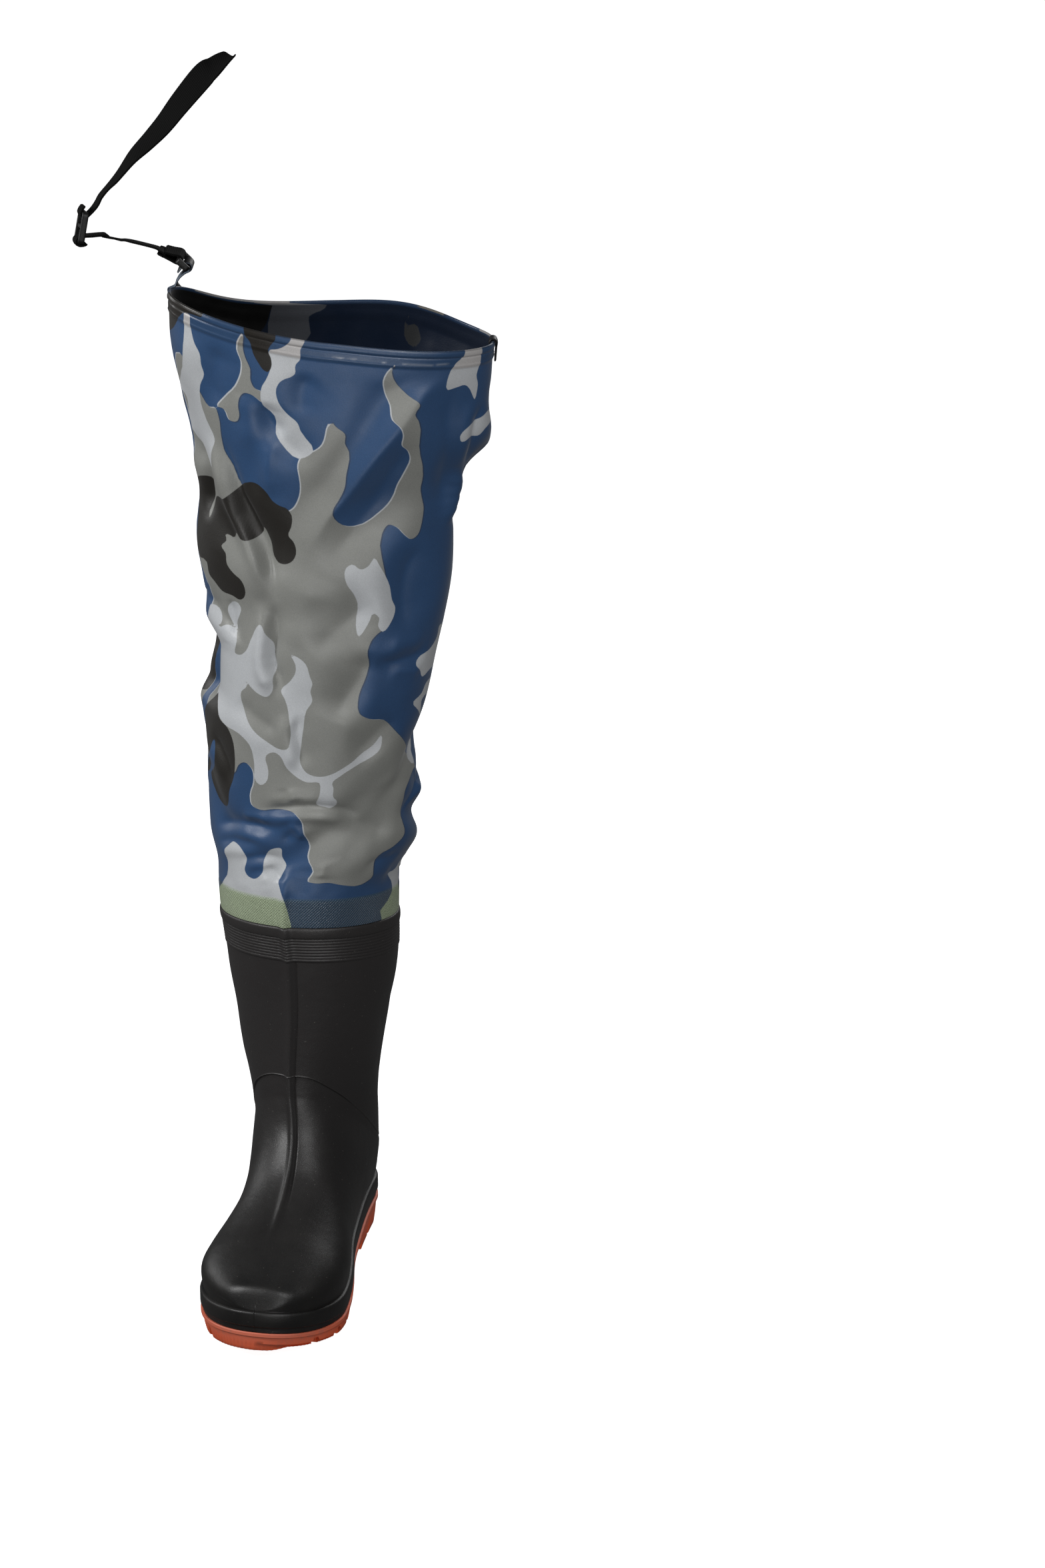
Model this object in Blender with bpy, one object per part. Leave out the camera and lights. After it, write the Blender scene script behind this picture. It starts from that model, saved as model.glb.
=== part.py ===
"""Hip wader for the right foot: a moulded boot, a welded fabric leg and a belt strap.

The toe points to -Y, the lateral side to -X and the medial side to +X. The origin lies on the floor
under the middle of the heel. Lengths are in metres.
"""
import math
from typing import NamedTuple

import bpy
import numpy as np

# Driving sizes of the foot and the boot
LAST_LENGTH = 0.298
BALL_WIDTH = 0.118
HEEL_WIDTH = 0.078
ANKLE_WIDTH = 0.105
SHAFT_WIDTH = 0.147
HEEL_BACK = 0.046
INSTEP_HEIGHT = 0.152
COUNTER_HEIGHT = 0.140
RIM_HEIGHT = 0.314
RIM_TILT = 0.022
BOOT_WALL = 0.0026
CLEARANCE = 0.0003

# Band moulded round the foot, and the steps of the boot's wall
FOXING_HEIGHT = 0.019
FOXING_PROUD = 0.0026
FOXING_UNDERCUT = 0.0045
FOXING_ROUND = 0.0012
ANKLE_STEP = 0.0009
RIDGE_PROUD = 0.0030
RIDGE_WIDTH = 0.011
RIDGE_TURN = 0.23 * RIDGE_WIDTH / SHAFT_WIDTH
RIM_BEAD = 0.010
RIM_PROUD = 0.0014
RIB_BAND = 0.021
RIB_PROUD = 0.0007
WELD_HEIGHT = 0.025
STEP_SLOPE = 0.0012

# Sole
SOLE_THICKNESS = 0.018
HEEL_SEAT = 0.026
TOE_SPRING = 0.012
TOE_BREAK = 0.72
SOLE_LIP = 0.0024
LIP_HEIGHT = 0.0035
SIDE_STEP = 0.0012
SIDE_TAPER = 0.0022
LUG_DEPTH = 0.006
GROOVE_WIDTH = 0.006
LUG_SLOPE = 0.0012

INSOLE_THICKNESS = 0.004
INSOLE_PLAY = 0.0012

# Leg
LEG_WALL = 0.0010
COLLAR_HEIGHT = 0.813
COLLAR_WIDTH = 0.258
COLLAR_DEPTH = 0.122
LATERAL_RISE = 0.020
FRONT_DROP = 0.001
CORNER_RISE = 0.004
HEM_HEIGHT = 0.017
HEM_PROUD = 0.0007
HEM_SLOPE = 0.0016

# Strap
TAB_TURN = 0.207
TAB_WIDTH = 0.020
TAB_THICKNESS = 0.0016
WEBBING_WIDTH = 0.025
WEBBING_THICKNESS = 0.0015
BUCKLE_BAR = 0.0032
BUCKLE_MARGIN = 0.0012
RING_GAP = 0.0060
SLIDER_GAP = 0.0080
BUCKLE_THICKNESS = 0.003
BAR_REACH = 0.5 * math.hypot(BUCKLE_BAR, BUCKLE_THICKNESS)
TAB_LAP = 0.014
CORNER_TAB_WIDTH = 0.013
CORNER_TAB_DROP = 0.016
UPPER_TWIST = math.radians(25.0)
LOWER_ROLL = math.radians(13.0)

# Grid of the boot's wall
COLUMNS = 17
ROUND_STATIONS = 7
RIDGE_COLUMNS = (0.93, 0.955, 0.98, 1.0)
STATION_GAP = 0.006


class LugRow(NamedTuple):
    """A row of lugs: where it starts and ends along the last, and how many lugs it has."""
    start: float
    end: float
    count: int


LUG_ROWS = (
    LugRow(0.000, 0.290, 3),
    LugRow(0.430, 1.000, 6),
)


class Buckle(NamedTuple):
    """A flat buckle of bars: its middle in webbing widths from the tab's foot, lean, bars and gap."""
    out: float
    up: float
    lean: float
    bars: int
    gap: float


STRAP_RING = Buckle(-0.28, 0.86, math.radians(44.6), 2, RING_GAP)
SLIDER = Buckle(2.89, 1.94, math.radians(101.7), 3, SLIDER_GAP)


class Mark(NamedTuple):
    """A point of the strap's middle line, in webbing widths out from and up from the tab's foot."""
    out: float
    up: float


TAB_RUN = (Mark(0.00, 0.12), Mark(-0.05, 0.24), Mark(-0.14, 0.38), Mark(-0.30, 0.52))
TAB_TAIL = (Mark(-0.18, 0.66), Mark(-0.08, 0.54))
RING_TAIL = (Mark(0.30, 1.23), Mark(0.03, 1.16))
LOWER_RUN = (Mark(0.11, 0.98), Mark(0.29, 1.11), Mark(0.47, 1.22), Mark(0.79, 1.34), Mark(1.23, 1.45),
             Mark(1.70, 1.50), Mark(2.20, 1.60), Mark(2.59, 1.66))
SLIDER_TAIL = (Mark(2.71, 1.37), Mark(2.47, 1.43))
UPPER_TAIL = (Mark(2.58, 2.84), Mark(2.76, 2.64))
UPPER_RUN = (Mark(2.22, 3.11), Mark(1.72, 3.62), Mark(1.22, 4.13), Mark(0.69, 4.65), Mark(0.20, 5.17),
             Mark(-0.30, 5.80), Mark(-0.86, 6.46), Mark(-1.34, 6.88), Mark(-1.94, 7.20))

# Far side of each turn round a bar, in degrees from straight out
TAB_WRAP = 128.8
RING_WRAP = 204.0
SLIDER_WRAP = -9.0
UPPER_WRAP = 308.4


class Plan(NamedTuple):
    """One station of the last's outline: shares of its length, of a named width and of the ball."""
    along: float
    size: float
    half: float
    centre: float


HEEL_REACH = 0.5 * HEEL_WIDTH / LAST_LENGTH
TOE_REACH = 0.62 * BALL_WIDTH / LAST_LENGTH
TOE_SQUARE = 2.25
PLAN = (
    Plan(0.00, HEEL_WIDTH, 0.500, -0.022),
    Plan(0.12, HEEL_WIDTH, 0.500, -0.022),
    Plan(0.25, HEEL_WIDTH, 0.490, 0.000),
    Plan(0.36, BALL_WIDTH, 0.335, 0.015),
    Plan(0.48, BALL_WIDTH, 0.365, 0.025),
    Plan(0.60, BALL_WIDTH, 0.440, 0.025),
    Plan(0.70, BALL_WIDTH, 0.490, 0.025),
    Plan(0.78, BALL_WIDTH, 0.500, 0.032),
    Plan(0.88, BALL_WIDTH, 0.478, 0.045),
    Plan(1.00, BALL_WIDTH, 0.440, 0.060),
)


class Section(NamedTuple):
    """One cross-section of the boot, in a plane from its sole or back line to its front line.

    Stations are shares of the last's length from the heel. Levels run from 0 at the foxing's top to 1 at
    the instep or counter, 2 under the ribs, 3 at the rim and 4 at the top of the weld neck. The half width
    is a share of `size`; `peak` is where along the section it is widest, and `crown` how square it is.
    """
    back: float
    back_level: float
    front: float
    front_level: float
    size: float
    half: float
    centre: float
    peak: float
    crown: float


SECTIONS = (
    Section(1.000, 0.00, 1.000, 0.00, BALL_WIDTH, 0.440, 0.060, 0.30, 2.4),
    Section(0.975, 0.00, 0.977, 0.16, BALL_WIDTH, 0.445, 0.060, 0.30, 2.4),
    Section(0.940, 0.00, 0.944, 0.22, BALL_WIDTH, 0.460, 0.053, 0.30, 2.3),
    Section(0.880, 0.00, 0.890, 0.30, BALL_WIDTH, 0.487, 0.045, 0.30, 2.2),
    Section(0.800, 0.00, 0.815, 0.385, BALL_WIDTH, 0.507, 0.035, 0.29, 2.1),
    Section(0.715, 0.00, 0.735, 0.46, BALL_WIDTH, 0.500, 0.032, 0.28, 2.0),
    Section(0.630, 0.00, 0.660, 0.55, BALL_WIDTH, 0.462, 0.030, 0.28, 2.0),
    Section(0.540, 0.00, 0.595, 0.66, BALL_WIDTH, 0.418, 0.022, 0.29, 2.0),
    Section(0.440, 0.00, 0.545, 0.80, BALL_WIDTH, 0.398, 0.010, 0.31, 2.0),
    Section(0.330, 0.00, 0.515, 0.91, BALL_WIDTH, 0.400, -0.008, 0.34, 2.0),
    Section(0.210, 0.00, 0.500, 1.00, ANKLE_WIDTH, 0.462, -0.022, 0.37, 2.0),
    Section(0.100, 0.00, 0.492, 1.06, ANKLE_WIDTH, 0.470, -0.034, 0.39, 2.0),
    Section(0.030, 0.00, 0.488, 1.10, ANKLE_WIDTH, 0.475, -0.040, 0.40, 2.0),
    Section(0.000, 0.00, 0.487, 1.13, ANKLE_WIDTH, 0.478, -0.042, 0.41, 2.0),
    Section(-0.008, 0.20, 0.486, 1.17, ANKLE_WIDTH, 0.485, -0.043, 0.42, 2.0),
    Section(-0.008, 0.45, 0.485, 1.23, ANKLE_WIDTH, 0.498, -0.043, 0.43, 2.0),
    Section(0.012, 0.75, 0.486, 1.32, ANKLE_WIDTH, 0.520, -0.040, 0.45, 2.0),
    Section(0.034, 1.00, 0.489, 1.42, ANKLE_WIDTH, 0.550, -0.032, 0.48, 2.0),
    Section(0.045, 1.25, 0.494, 1.54, ANKLE_WIDTH, 0.590, -0.022, 0.50, 2.0),
    Section(0.045, 1.50, 0.502, 1.68, SHAFT_WIDTH, 0.448, -0.012, 0.50, 2.0),
    Section(0.038, 1.75, 0.512, 1.84, SHAFT_WIDTH, 0.472, -0.008, 0.50, 2.0),
    Section(0.032, 2.00, 0.522, 2.00, SHAFT_WIDTH, 0.488, -0.006, 0.50, 2.0),
    Section(0.026, 3.00, 0.532, 3.00, SHAFT_WIDTH, 0.500, -0.018, 0.50, 2.0),
    Section(0.024, 4.00, 0.536, 4.00, SHAFT_WIDTH, 0.506, -0.020, 0.50, 2.0),
)
CORNER_ROW = 13
RIBS_ROW = 21
RIM_ROW = 22
NECK_ROW = 23


class StepPoint(NamedTuple):
    """Where the step over the ankle runs: turn is 0 at the back line and 1 at the front ridge."""
    turn: float
    row: float


ANKLE_LINE = (
    StepPoint(0.00, 14.8),
    StepPoint(0.30, 13.8),
    StepPoint(0.50, 13.35),
    StepPoint(0.64, 13.8),
    StepPoint(0.78, 15.1),
    StepPoint(0.90, 15.45),
    StepPoint(1.00, 15.3),
)
ANKLE_ROW = 14.7
ANKLE_REACH = 1.6
STEP_HALF = 0.05
PANEL_FADE = (17.5, 19.5)
RIDGE_FADE = (4.5, 7.0)


class Ring(NamedTuple):
    """One ring of the leg above the weld band: rise is its share of the way up to the collar.

    The centre and half sizes are shares of the collar's width and depth; turn is a share of COLLAR_TURN.
    """
    rise: float
    across: float
    deep: float
    half_wide: float
    half_deep: float
    turn: float
    square: float


COLLAR_TURN = math.radians(13.0)
LEG_EASE = 0.10
RINGS = (
    Ring(0.00, 0.000, -0.300, 0.288, 0.575, 0.0, 2.0),
    Ring(0.07, 0.003, -0.300, 0.320, 0.600, 0.1, 2.0),
    Ring(0.14, 0.006, -0.300, 0.330, 0.590, 0.2, 2.0),
    Ring(0.24, 0.004, -0.300, 0.338, 0.580, 0.4, 2.0),
    Ring(0.36, 0.030, -0.300, 0.352, 0.570, 0.6, 2.0),
    Ring(0.48, 0.055, -0.300, 0.372, 0.560, 0.8, 2.0),
    Ring(0.58, 0.065, -0.300, 0.392, 0.550, 0.9, 2.0),
    Ring(0.70, 0.070, -0.300, 0.400, 0.530, 1.0, 2.0),
    Ring(0.78, 0.085, -0.300, 0.412, 0.520, 1.0, 2.1),
    Ring(0.85, 0.105, -0.300, 0.460, 0.510, 1.0, 2.2),
    Ring(0.92, 0.097, -0.310, 0.483, 0.490, 1.0, 2.3),
    Ring(1.00, 0.104, -0.335, 0.491, 0.455, 1.0, 2.3),
)


class Fold(NamedTuple):
    """A soft trough in the leg: its middle, slope and reach in turns and rise, depth by COLLAR_DEPTH."""
    turn: float
    rise: float
    lean: float
    long: float
    wide: float
    depth: float


FOLDS = (
    Fold(0.36, 0.66, -0.30, 0.16, 0.050, 0.057),
    Fold(0.42, 0.52, 0.25, 0.14, 0.045, 0.049),
    Fold(0.62, 0.74, 0.20, 0.16, 0.050, 0.049),
    Fold(0.30, 0.20, -0.90, 0.10, 0.040, 0.041),
    Fold(0.55, 0.14, 1.00, 0.14, 0.035, 0.037),
    Fold(0.70, 0.24, 1.10, 0.12, 0.040, 0.041),
    Fold(0.05, 0.50, 0.10, 0.20, 0.060, 0.057),
    Fold(0.90, 0.30, 0.40, 0.16, 0.050, 0.049),
)


def clear_scene() -> None:
    """Remove the objects that the file opens with."""
    for thing in list(bpy.data.objects):
        bpy.data.objects.remove(thing, do_unlink=True)


def plastic(name: str, colour: tuple, rough: float) -> bpy.types.Material:
    """Make a plain Principled material of one colour."""
    material = bpy.data.materials.new(name)
    material.use_nodes = True
    shader = material.node_tree.nodes["Principled BSDF"]
    shader.inputs["Base Color"].default_value = (*colour, 1.0)
    shader.inputs["Roughness"].default_value = rough
    shader.inputs["Metallic"].default_value = 0.0
    return material


def column(table: tuple, name: str) -> np.ndarray:
    """Take one named column of a table as an array."""
    return np.array([getattr(row, name) for row in table], dtype=float)


def smooth(knots: np.ndarray, values: np.ndarray, at: np.ndarray) -> np.ndarray:
    """Run a cubic through the knots, each slope the mean of the two chords beside it."""
    slopes = np.gradient(values, knots)
    at = np.clip(at, knots[0], knots[-1])
    low = np.clip(np.searchsorted(knots, at, side="right") - 1, 0, len(knots) - 2)
    gap = knots[low + 1] - knots[low]
    part = (at - knots[low]) / gap
    return ((1 + 2 * part) * (1 - part) ** 2 * values[low] + part * (1 - part) ** 2 * gap * slopes[low]
            + part ** 2 * (3 - 2 * part) * values[low + 1] + part ** 2 * (part - 1) * gap * slopes[low + 1])


def ease(value: np.ndarray) -> np.ndarray:
    """Go smoothly from 0 to 1."""
    value = np.clip(value, 0.0, 1.0)
    return value * value * (3 - 2 * value)


def heel_cap(along: np.ndarray) -> np.ndarray:
    """Round the outline off at the heel as a half circle."""
    return np.sqrt(np.clip(1 - np.clip(1 - along / HEEL_REACH, 0, 1) ** 2, 0, 1))


def toe_cap(along: np.ndarray) -> np.ndarray:
    """Round the outline off at the toe, a little squarer than a circle."""
    return (1 - np.clip((along - 1 + TOE_REACH) / TOE_REACH, 0, 1) ** TOE_SQUARE) ** (1 / TOE_SQUARE)


def plan_y(along: np.ndarray, grow: float = 0.0) -> np.ndarray:
    """Place a station on the outline, grown outwards by `grow`."""
    return HEEL_BACK + grow - along * (LAST_LENGTH + 2 * grow)


def plan_x(along: np.ndarray, side: float, grow: float = 0.0) -> np.ndarray:
    """Place the outline's edge at a station: side is -1 lateral, +1 medial."""
    knots = column(PLAN, "along")
    half = smooth(knots, column(PLAN, "size") * column(PLAN, "half"), along)
    centre = smooth(knots, BALL_WIDTH * column(PLAN, "centre"), along)
    return centre + side * (half + grow) * heel_cap(along) * toe_cap(along)


def spring(along: np.ndarray) -> np.ndarray:
    """Lift of the sole's underside off the floor towards the toe."""
    return TOE_SPRING * np.clip((along - TOE_BREAK) / (1 - TOE_BREAK), 0, 1) ** 2


def seat(along: np.ndarray) -> np.ndarray:
    """Height of the sole's top."""
    heel = ease((0.62 - along) / 0.45)
    return SOLE_THICKNESS + heel * (HEEL_SEAT - SOLE_THICKNESS) + spring(along)


def boot_levels(along: np.ndarray, bend: float, tilt: float, level: np.ndarray) -> np.ndarray:
    """Turn a level of the section table into a height."""
    base = seat(along) + CLEARANCE + FOXING_HEIGHT
    rim = RIM_HEIGHT + tilt
    marks = [bend, rim - RIM_BEAD - RIB_BAND, rim, rim + WELD_HEIGHT]
    upper = np.interp(level, [1, 2, 3, 4], marks)
    return np.where(level < 1, base + level * (bend - base), upper)


def boot_surface(rows: np.ndarray, turns: np.ndarray) -> np.ndarray:
    """Outer face of the boot above its foxing, before ridges and steps.

    Args:
        rows: section rows of the points, whole or between two rows of SECTIONS.
        turns: -1 at the lateral edge or back line, 0 at the front ridge, +1 on the medial side.

    Returns:
        Points, with the shape of rows and turns and a last axis of x, y, z. A section runs from its back
        point to its front point; its half width is a quarter ellipse up to the peak, starting from the
        outline's own half width, and a superellipse from the peak to the front.
    """
    knots = np.arange(len(SECTIONS), dtype=float)

    def at_rows(name: str) -> np.ndarray:
        return smooth(knots, column(SECTIONS, name), rows)

    back, front = at_rows("back"), at_rows("front")
    half = smooth(knots, column(SECTIONS, "size") * column(SECTIONS, "half"), rows) * toe_cap(back)
    centre = BALL_WIDTH * at_rows("centre")
    peak, crown = at_rows("peak"), at_rows("crown")
    back_z = boot_levels(np.maximum(back, 0), COUNTER_HEIGHT, -0.5 * RIM_TILT, at_rows("back_level"))
    front_z = boot_levels(front, INSTEP_HEIGHT, 0.5 * RIM_TILT, at_rows("front_level"))
    open_foot = (rows < CORNER_ROW - 1e-6) & (rows > 1e-6)
    side = np.where(turns < 0, -1.0, 1.0)
    edge = np.where(side < 0, plan_x(back, -1.0), plan_x(back, 1.0))
    foot = np.where(open_foot, side * (edge - centre), 0.0)
    angle = (1 - np.abs(turns)) * math.pi
    low = np.clip(angle, 0, math.pi / 2)
    high = np.clip(angle - math.pi / 2, 0, math.pi / 2)
    wide_low = np.sqrt(foot ** 2 + np.maximum(half ** 2 - foot ** 2, 0) * np.sin(low) ** 2)
    wide_high = half * np.cos(high) ** (2 / crown)
    up_low = peak * (1 - np.cos(low))
    up_high = peak + (1 - peak) * np.sin(high) ** (2 / crown)
    wide = np.where(angle < math.pi / 2, wide_low, wide_high)
    up = np.where(angle < math.pi / 2, up_low, up_high)
    y = plan_y(back) + up * (plan_y(front) - plan_y(back))
    z = back_z + up * (front_z - back_z)
    return np.stack([centre + side * wide, y, z], axis=-1)


def grid_normals(points: np.ndarray) -> np.ndarray:
    """Outward unit normals of a grid whose rows climb and whose columns go round by the front."""
    climb = np.gradient(points, axis=0)
    along = np.gradient(points, axis=1)
    closed = np.linalg.norm(points[:, 0] - points[:, -1], axis=-1) < 1e-6
    wrap = 0.5 * (points[:, 1] - points[:, -2])
    along[closed, 0] = wrap[closed]
    along[closed, -1] = wrap[closed]
    normal = np.cross(along, climb)
    length = np.linalg.norm(normal, axis=-1, keepdims=True)
    normal = normal / np.maximum(length, 1e-12)
    normal[0] = (0.0, -1.0, 0.0)
    return normal


def turns_of_columns() -> np.ndarray:
    """Places of the columns round a section, closer together at the front ridge."""
    half = np.concatenate([np.linspace(0, 0.90, COLUMNS - len(RIDGE_COLUMNS)), RIDGE_COLUMNS])
    return np.concatenate([half - 1, (1 - half)[-2::-1]])


def foot_stations() -> np.ndarray:
    """Stations from the toe to the heel: even round both ends, and even between them."""
    turn = np.linspace(0, math.pi / 2, ROUND_STATIONS)
    toe = 1 - TOE_REACH * (1 - np.cos(turn))
    heel = (HEEL_REACH * (1 - np.cos(turn)))[::-1]
    middle = np.linspace(1 - TOE_REACH, HEEL_REACH, 8)[1:-1]
    return np.concatenate([toe, middle, heel])


def station_rows(stations: np.ndarray) -> np.ndarray:
    """Section rows whose sole points lie at the given stations."""
    rows = np.linspace(0, CORNER_ROW, 40 * CORNER_ROW + 1)
    back = smooth(np.arange(len(SECTIONS), dtype=float), column(SECTIONS, "back"), rows)
    found = np.interp(-stations, -np.minimum.accumulate(back), rows)
    found[0], found[-1] = 0.0, CORNER_ROW
    return found


def boot_rows() -> np.ndarray:
    """Rows of the boot's grid: even along the foot and shaft, paired at each step of the wall."""
    ankle = [13.6, ANKLE_ROW - STEP_HALF, ANKLE_ROW + STEP_HALF]
    shaft = np.arange(15.5, RIBS_ROW - 0.2, 1.0)
    ribs = RIB_BAND / (RIB_BAND + RIM_BEAD)
    slope = STEP_SLOPE / (RIB_BAND + RIM_BEAD)
    rim = RIBS_ROW + np.array([0.0, slope, 0.5 * ribs, ribs, ribs + slope, 1.0 - 1e-4])
    return np.concatenate([station_rows(foot_stations()), ankle, shaft, rim])


def warp_rows(rows: np.ndarray, turns: np.ndarray) -> np.ndarray:
    """Bend the rows round the ankle so that one follows the step over it."""
    line = smooth(column(ANKLE_LINE, "turn"), column(ANKLE_LINE, "row"), 1 - np.abs(turns))
    pull = ease(1 - np.abs(rows - ANKLE_ROW) / ANKLE_REACH)
    pull = np.where(rows > CORNER_ROW, pull, 0.0)
    return rows + pull * (line - ANKLE_ROW)


def ridge_height(turns: np.ndarray) -> np.ndarray:
    """Height of the front ridge, a bell curve across the front line."""
    return RIDGE_PROUD * np.exp(-(turns / RIDGE_TURN) ** 2)


def wall_steps(rows: np.ndarray, turns: np.ndarray) -> np.ndarray:
    """How far the wall stands proud: ridge, step over the ankle, ribbed band and bead."""
    ribs = RIB_BAND / (RIB_BAND + RIM_BEAD)
    slope = STEP_SLOPE / (RIB_BAND + RIM_BEAD)
    knots = [ANKLE_ROW - STEP_HALF, ANKLE_ROW + STEP_HALF, *PANEL_FADE, RIBS_ROW, RIBS_ROW + slope,
             RIBS_ROW + ribs, RIBS_ROW + ribs + slope, RIM_ROW]
    proud = [0, ANKLE_STEP, ANKLE_STEP, 0, 0, RIB_PROUD, RIB_PROUD, RIM_PROUD, RIM_PROUD]
    fade = ease((rows - RIDGE_FADE[0]) / (RIDGE_FADE[1] - RIDGE_FADE[0]))
    return np.interp(rows, knots, proud) + fade * ridge_height(turns)


def neck_points(turns: np.ndarray, grow: float, levels: np.ndarray) -> np.ndarray:
    """Rings from the rim to the top of the weld neck, moved out by `grow` from the boot's face."""
    rows, cols = np.meshgrid(RIM_ROW + levels, turns, indexing="ij")
    points = boot_surface(rows, cols)
    normal = grid_normals(points)
    normal[0] = normal[1]
    flat = normal * (1.0, 1.0, 0.0)
    flat /= np.linalg.norm(flat, axis=-1, keepdims=True)
    return points + flat * (grow + ridge_height(cols))[..., None]


class Builder:
    """Collects points and faces, and makes one closed object of them."""

    def __init__(self) -> None:
        self.points: list = []
        self.faces: list = []
        self.count = 0

    def add(self, points: np.ndarray) -> np.ndarray:
        """Add points and give their indices, in the same shape."""
        shape = points.shape[:-1]
        flat = points.reshape(-1, 3)
        ids = np.arange(self.count, self.count + len(flat)).reshape(shape)
        self.points.append(flat)
        self.count += len(flat)
        return ids

    def strip(self, low: np.ndarray, high: np.ndarray, flip: bool = False) -> None:
        """Join two rows of indices by quads."""
        quads = np.stack([low[:-1], low[1:], high[1:], high[:-1]], axis=-1)
        self.faces.append(quads[:, ::-1] if flip else quads)

    def grid(self, ids: np.ndarray, flip: bool = False) -> None:
        """Join all the rows of a grid of indices by quads."""
        for low, high in zip(ids[:-1], ids[1:]):
            self.strip(low, high, flip)

    def build(self, name: str, material: bpy.types.Material) -> bpy.types.Object:
        """Weld equal points, drop faces that vanish and make the object."""
        points = np.concatenate(self.points).astype(np.float32)
        keys = np.round(points / 2e-6).astype(np.int64)
        _, first, where = np.unique(keys, axis=0, return_index=True, return_inverse=True)
        where = where.reshape(-1)
        faces = []
        for face in where[np.concatenate(self.faces)].tolist():
            kept = [v for i, v in enumerate(face) if v != face[i - 1]]
            if len(set(kept)) >= 3:
                faces.append(kept)
        mesh = bpy.data.meshes.new(name)
        mesh.from_pydata(points[first].tolist(), [], faces)
        mesh.materials.append(material)
        mesh.shade_smooth()
        mesh.set_sharp_from_angle(angle=math.radians(35))
        thing = bpy.data.objects.new(name, mesh)
        bpy.context.scene.collection.objects.link(thing)
        return thing


def ring_of(along: np.ndarray, grow: float, lift: np.ndarray) -> np.ndarray:
    """Outline loop from the toe by the lateral side and heel to the toe again."""
    lateral = np.stack([plan_x(along, -1.0, grow), plan_y(along, grow), lift], axis=-1)
    medial = np.stack([plan_x(along, 1.0, grow), plan_y(along, grow), lift], axis=-1)
    return np.concatenate([lateral, medial[-2::-1]])


def build_outsole(material: bpy.types.Material) -> bpy.types.Object:
    """Sole and heel: rows across the foot, with the lugs as steps of the underside."""
    lugs = lug_edges()
    slope = LUG_SLOPE / LAST_LENGTH
    edges = [v for start, end in lugs for v in (start - slope, start, end, end + slope)]
    free = [v for v in foot_stations() if min(abs(v - e) for e in edges) > STATION_GAP]
    along = np.unique(np.clip(np.concatenate([free, edges, [0.0, 1.0]]), 0, 1))
    depth = [v for _ in lugs for v in (LUG_DEPTH, 0.0, 0.0, LUG_DEPTH)]
    ground = np.interp(along, edges, depth) + spring(along)
    top = seat(along)
    sides = (
        (SOLE_LIP, top),
        (SOLE_LIP, top - LIP_HEIGHT),
        (SOLE_LIP - SIDE_STEP, top - LIP_HEIGHT - 0.5 * SIDE_STEP),
        (SOLE_LIP - SIDE_STEP - 0.4 * SIDE_TAPER, 0.5 * (top - LIP_HEIGHT + ground)),
        (SOLE_LIP - SIDE_STEP - SIDE_TAPER, ground),
    )
    work = Builder()
    rings = [work.add(ring_of(along, grow, height)) for grow, height in sides]
    for high, low in zip(rings[:-1], rings[1:]):
        work.strip(high, low, flip=True)
    count = len(along)
    last = 2 * count - 2
    lateral = np.arange(count)
    medial = last - lateral
    work.strip(rings[0][lateral], rings[0][medial])
    work.strip(rings[-1][lateral], rings[-1][medial], flip=True)
    return work.build("outsole", material)


def lug_edges() -> list:
    """Start and end of each lug, as shares of the last: the heel's, then the forefoot's."""
    groove = GROOVE_WIDTH / LAST_LENGTH
    spans = []
    for row in LUG_ROWS:
        pitch = (row.end - row.start + groove) / row.count
        spans += [(row.start + i * pitch, row.start + (i + 1) * pitch - groove) for i in range(row.count)]
    return spans


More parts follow.
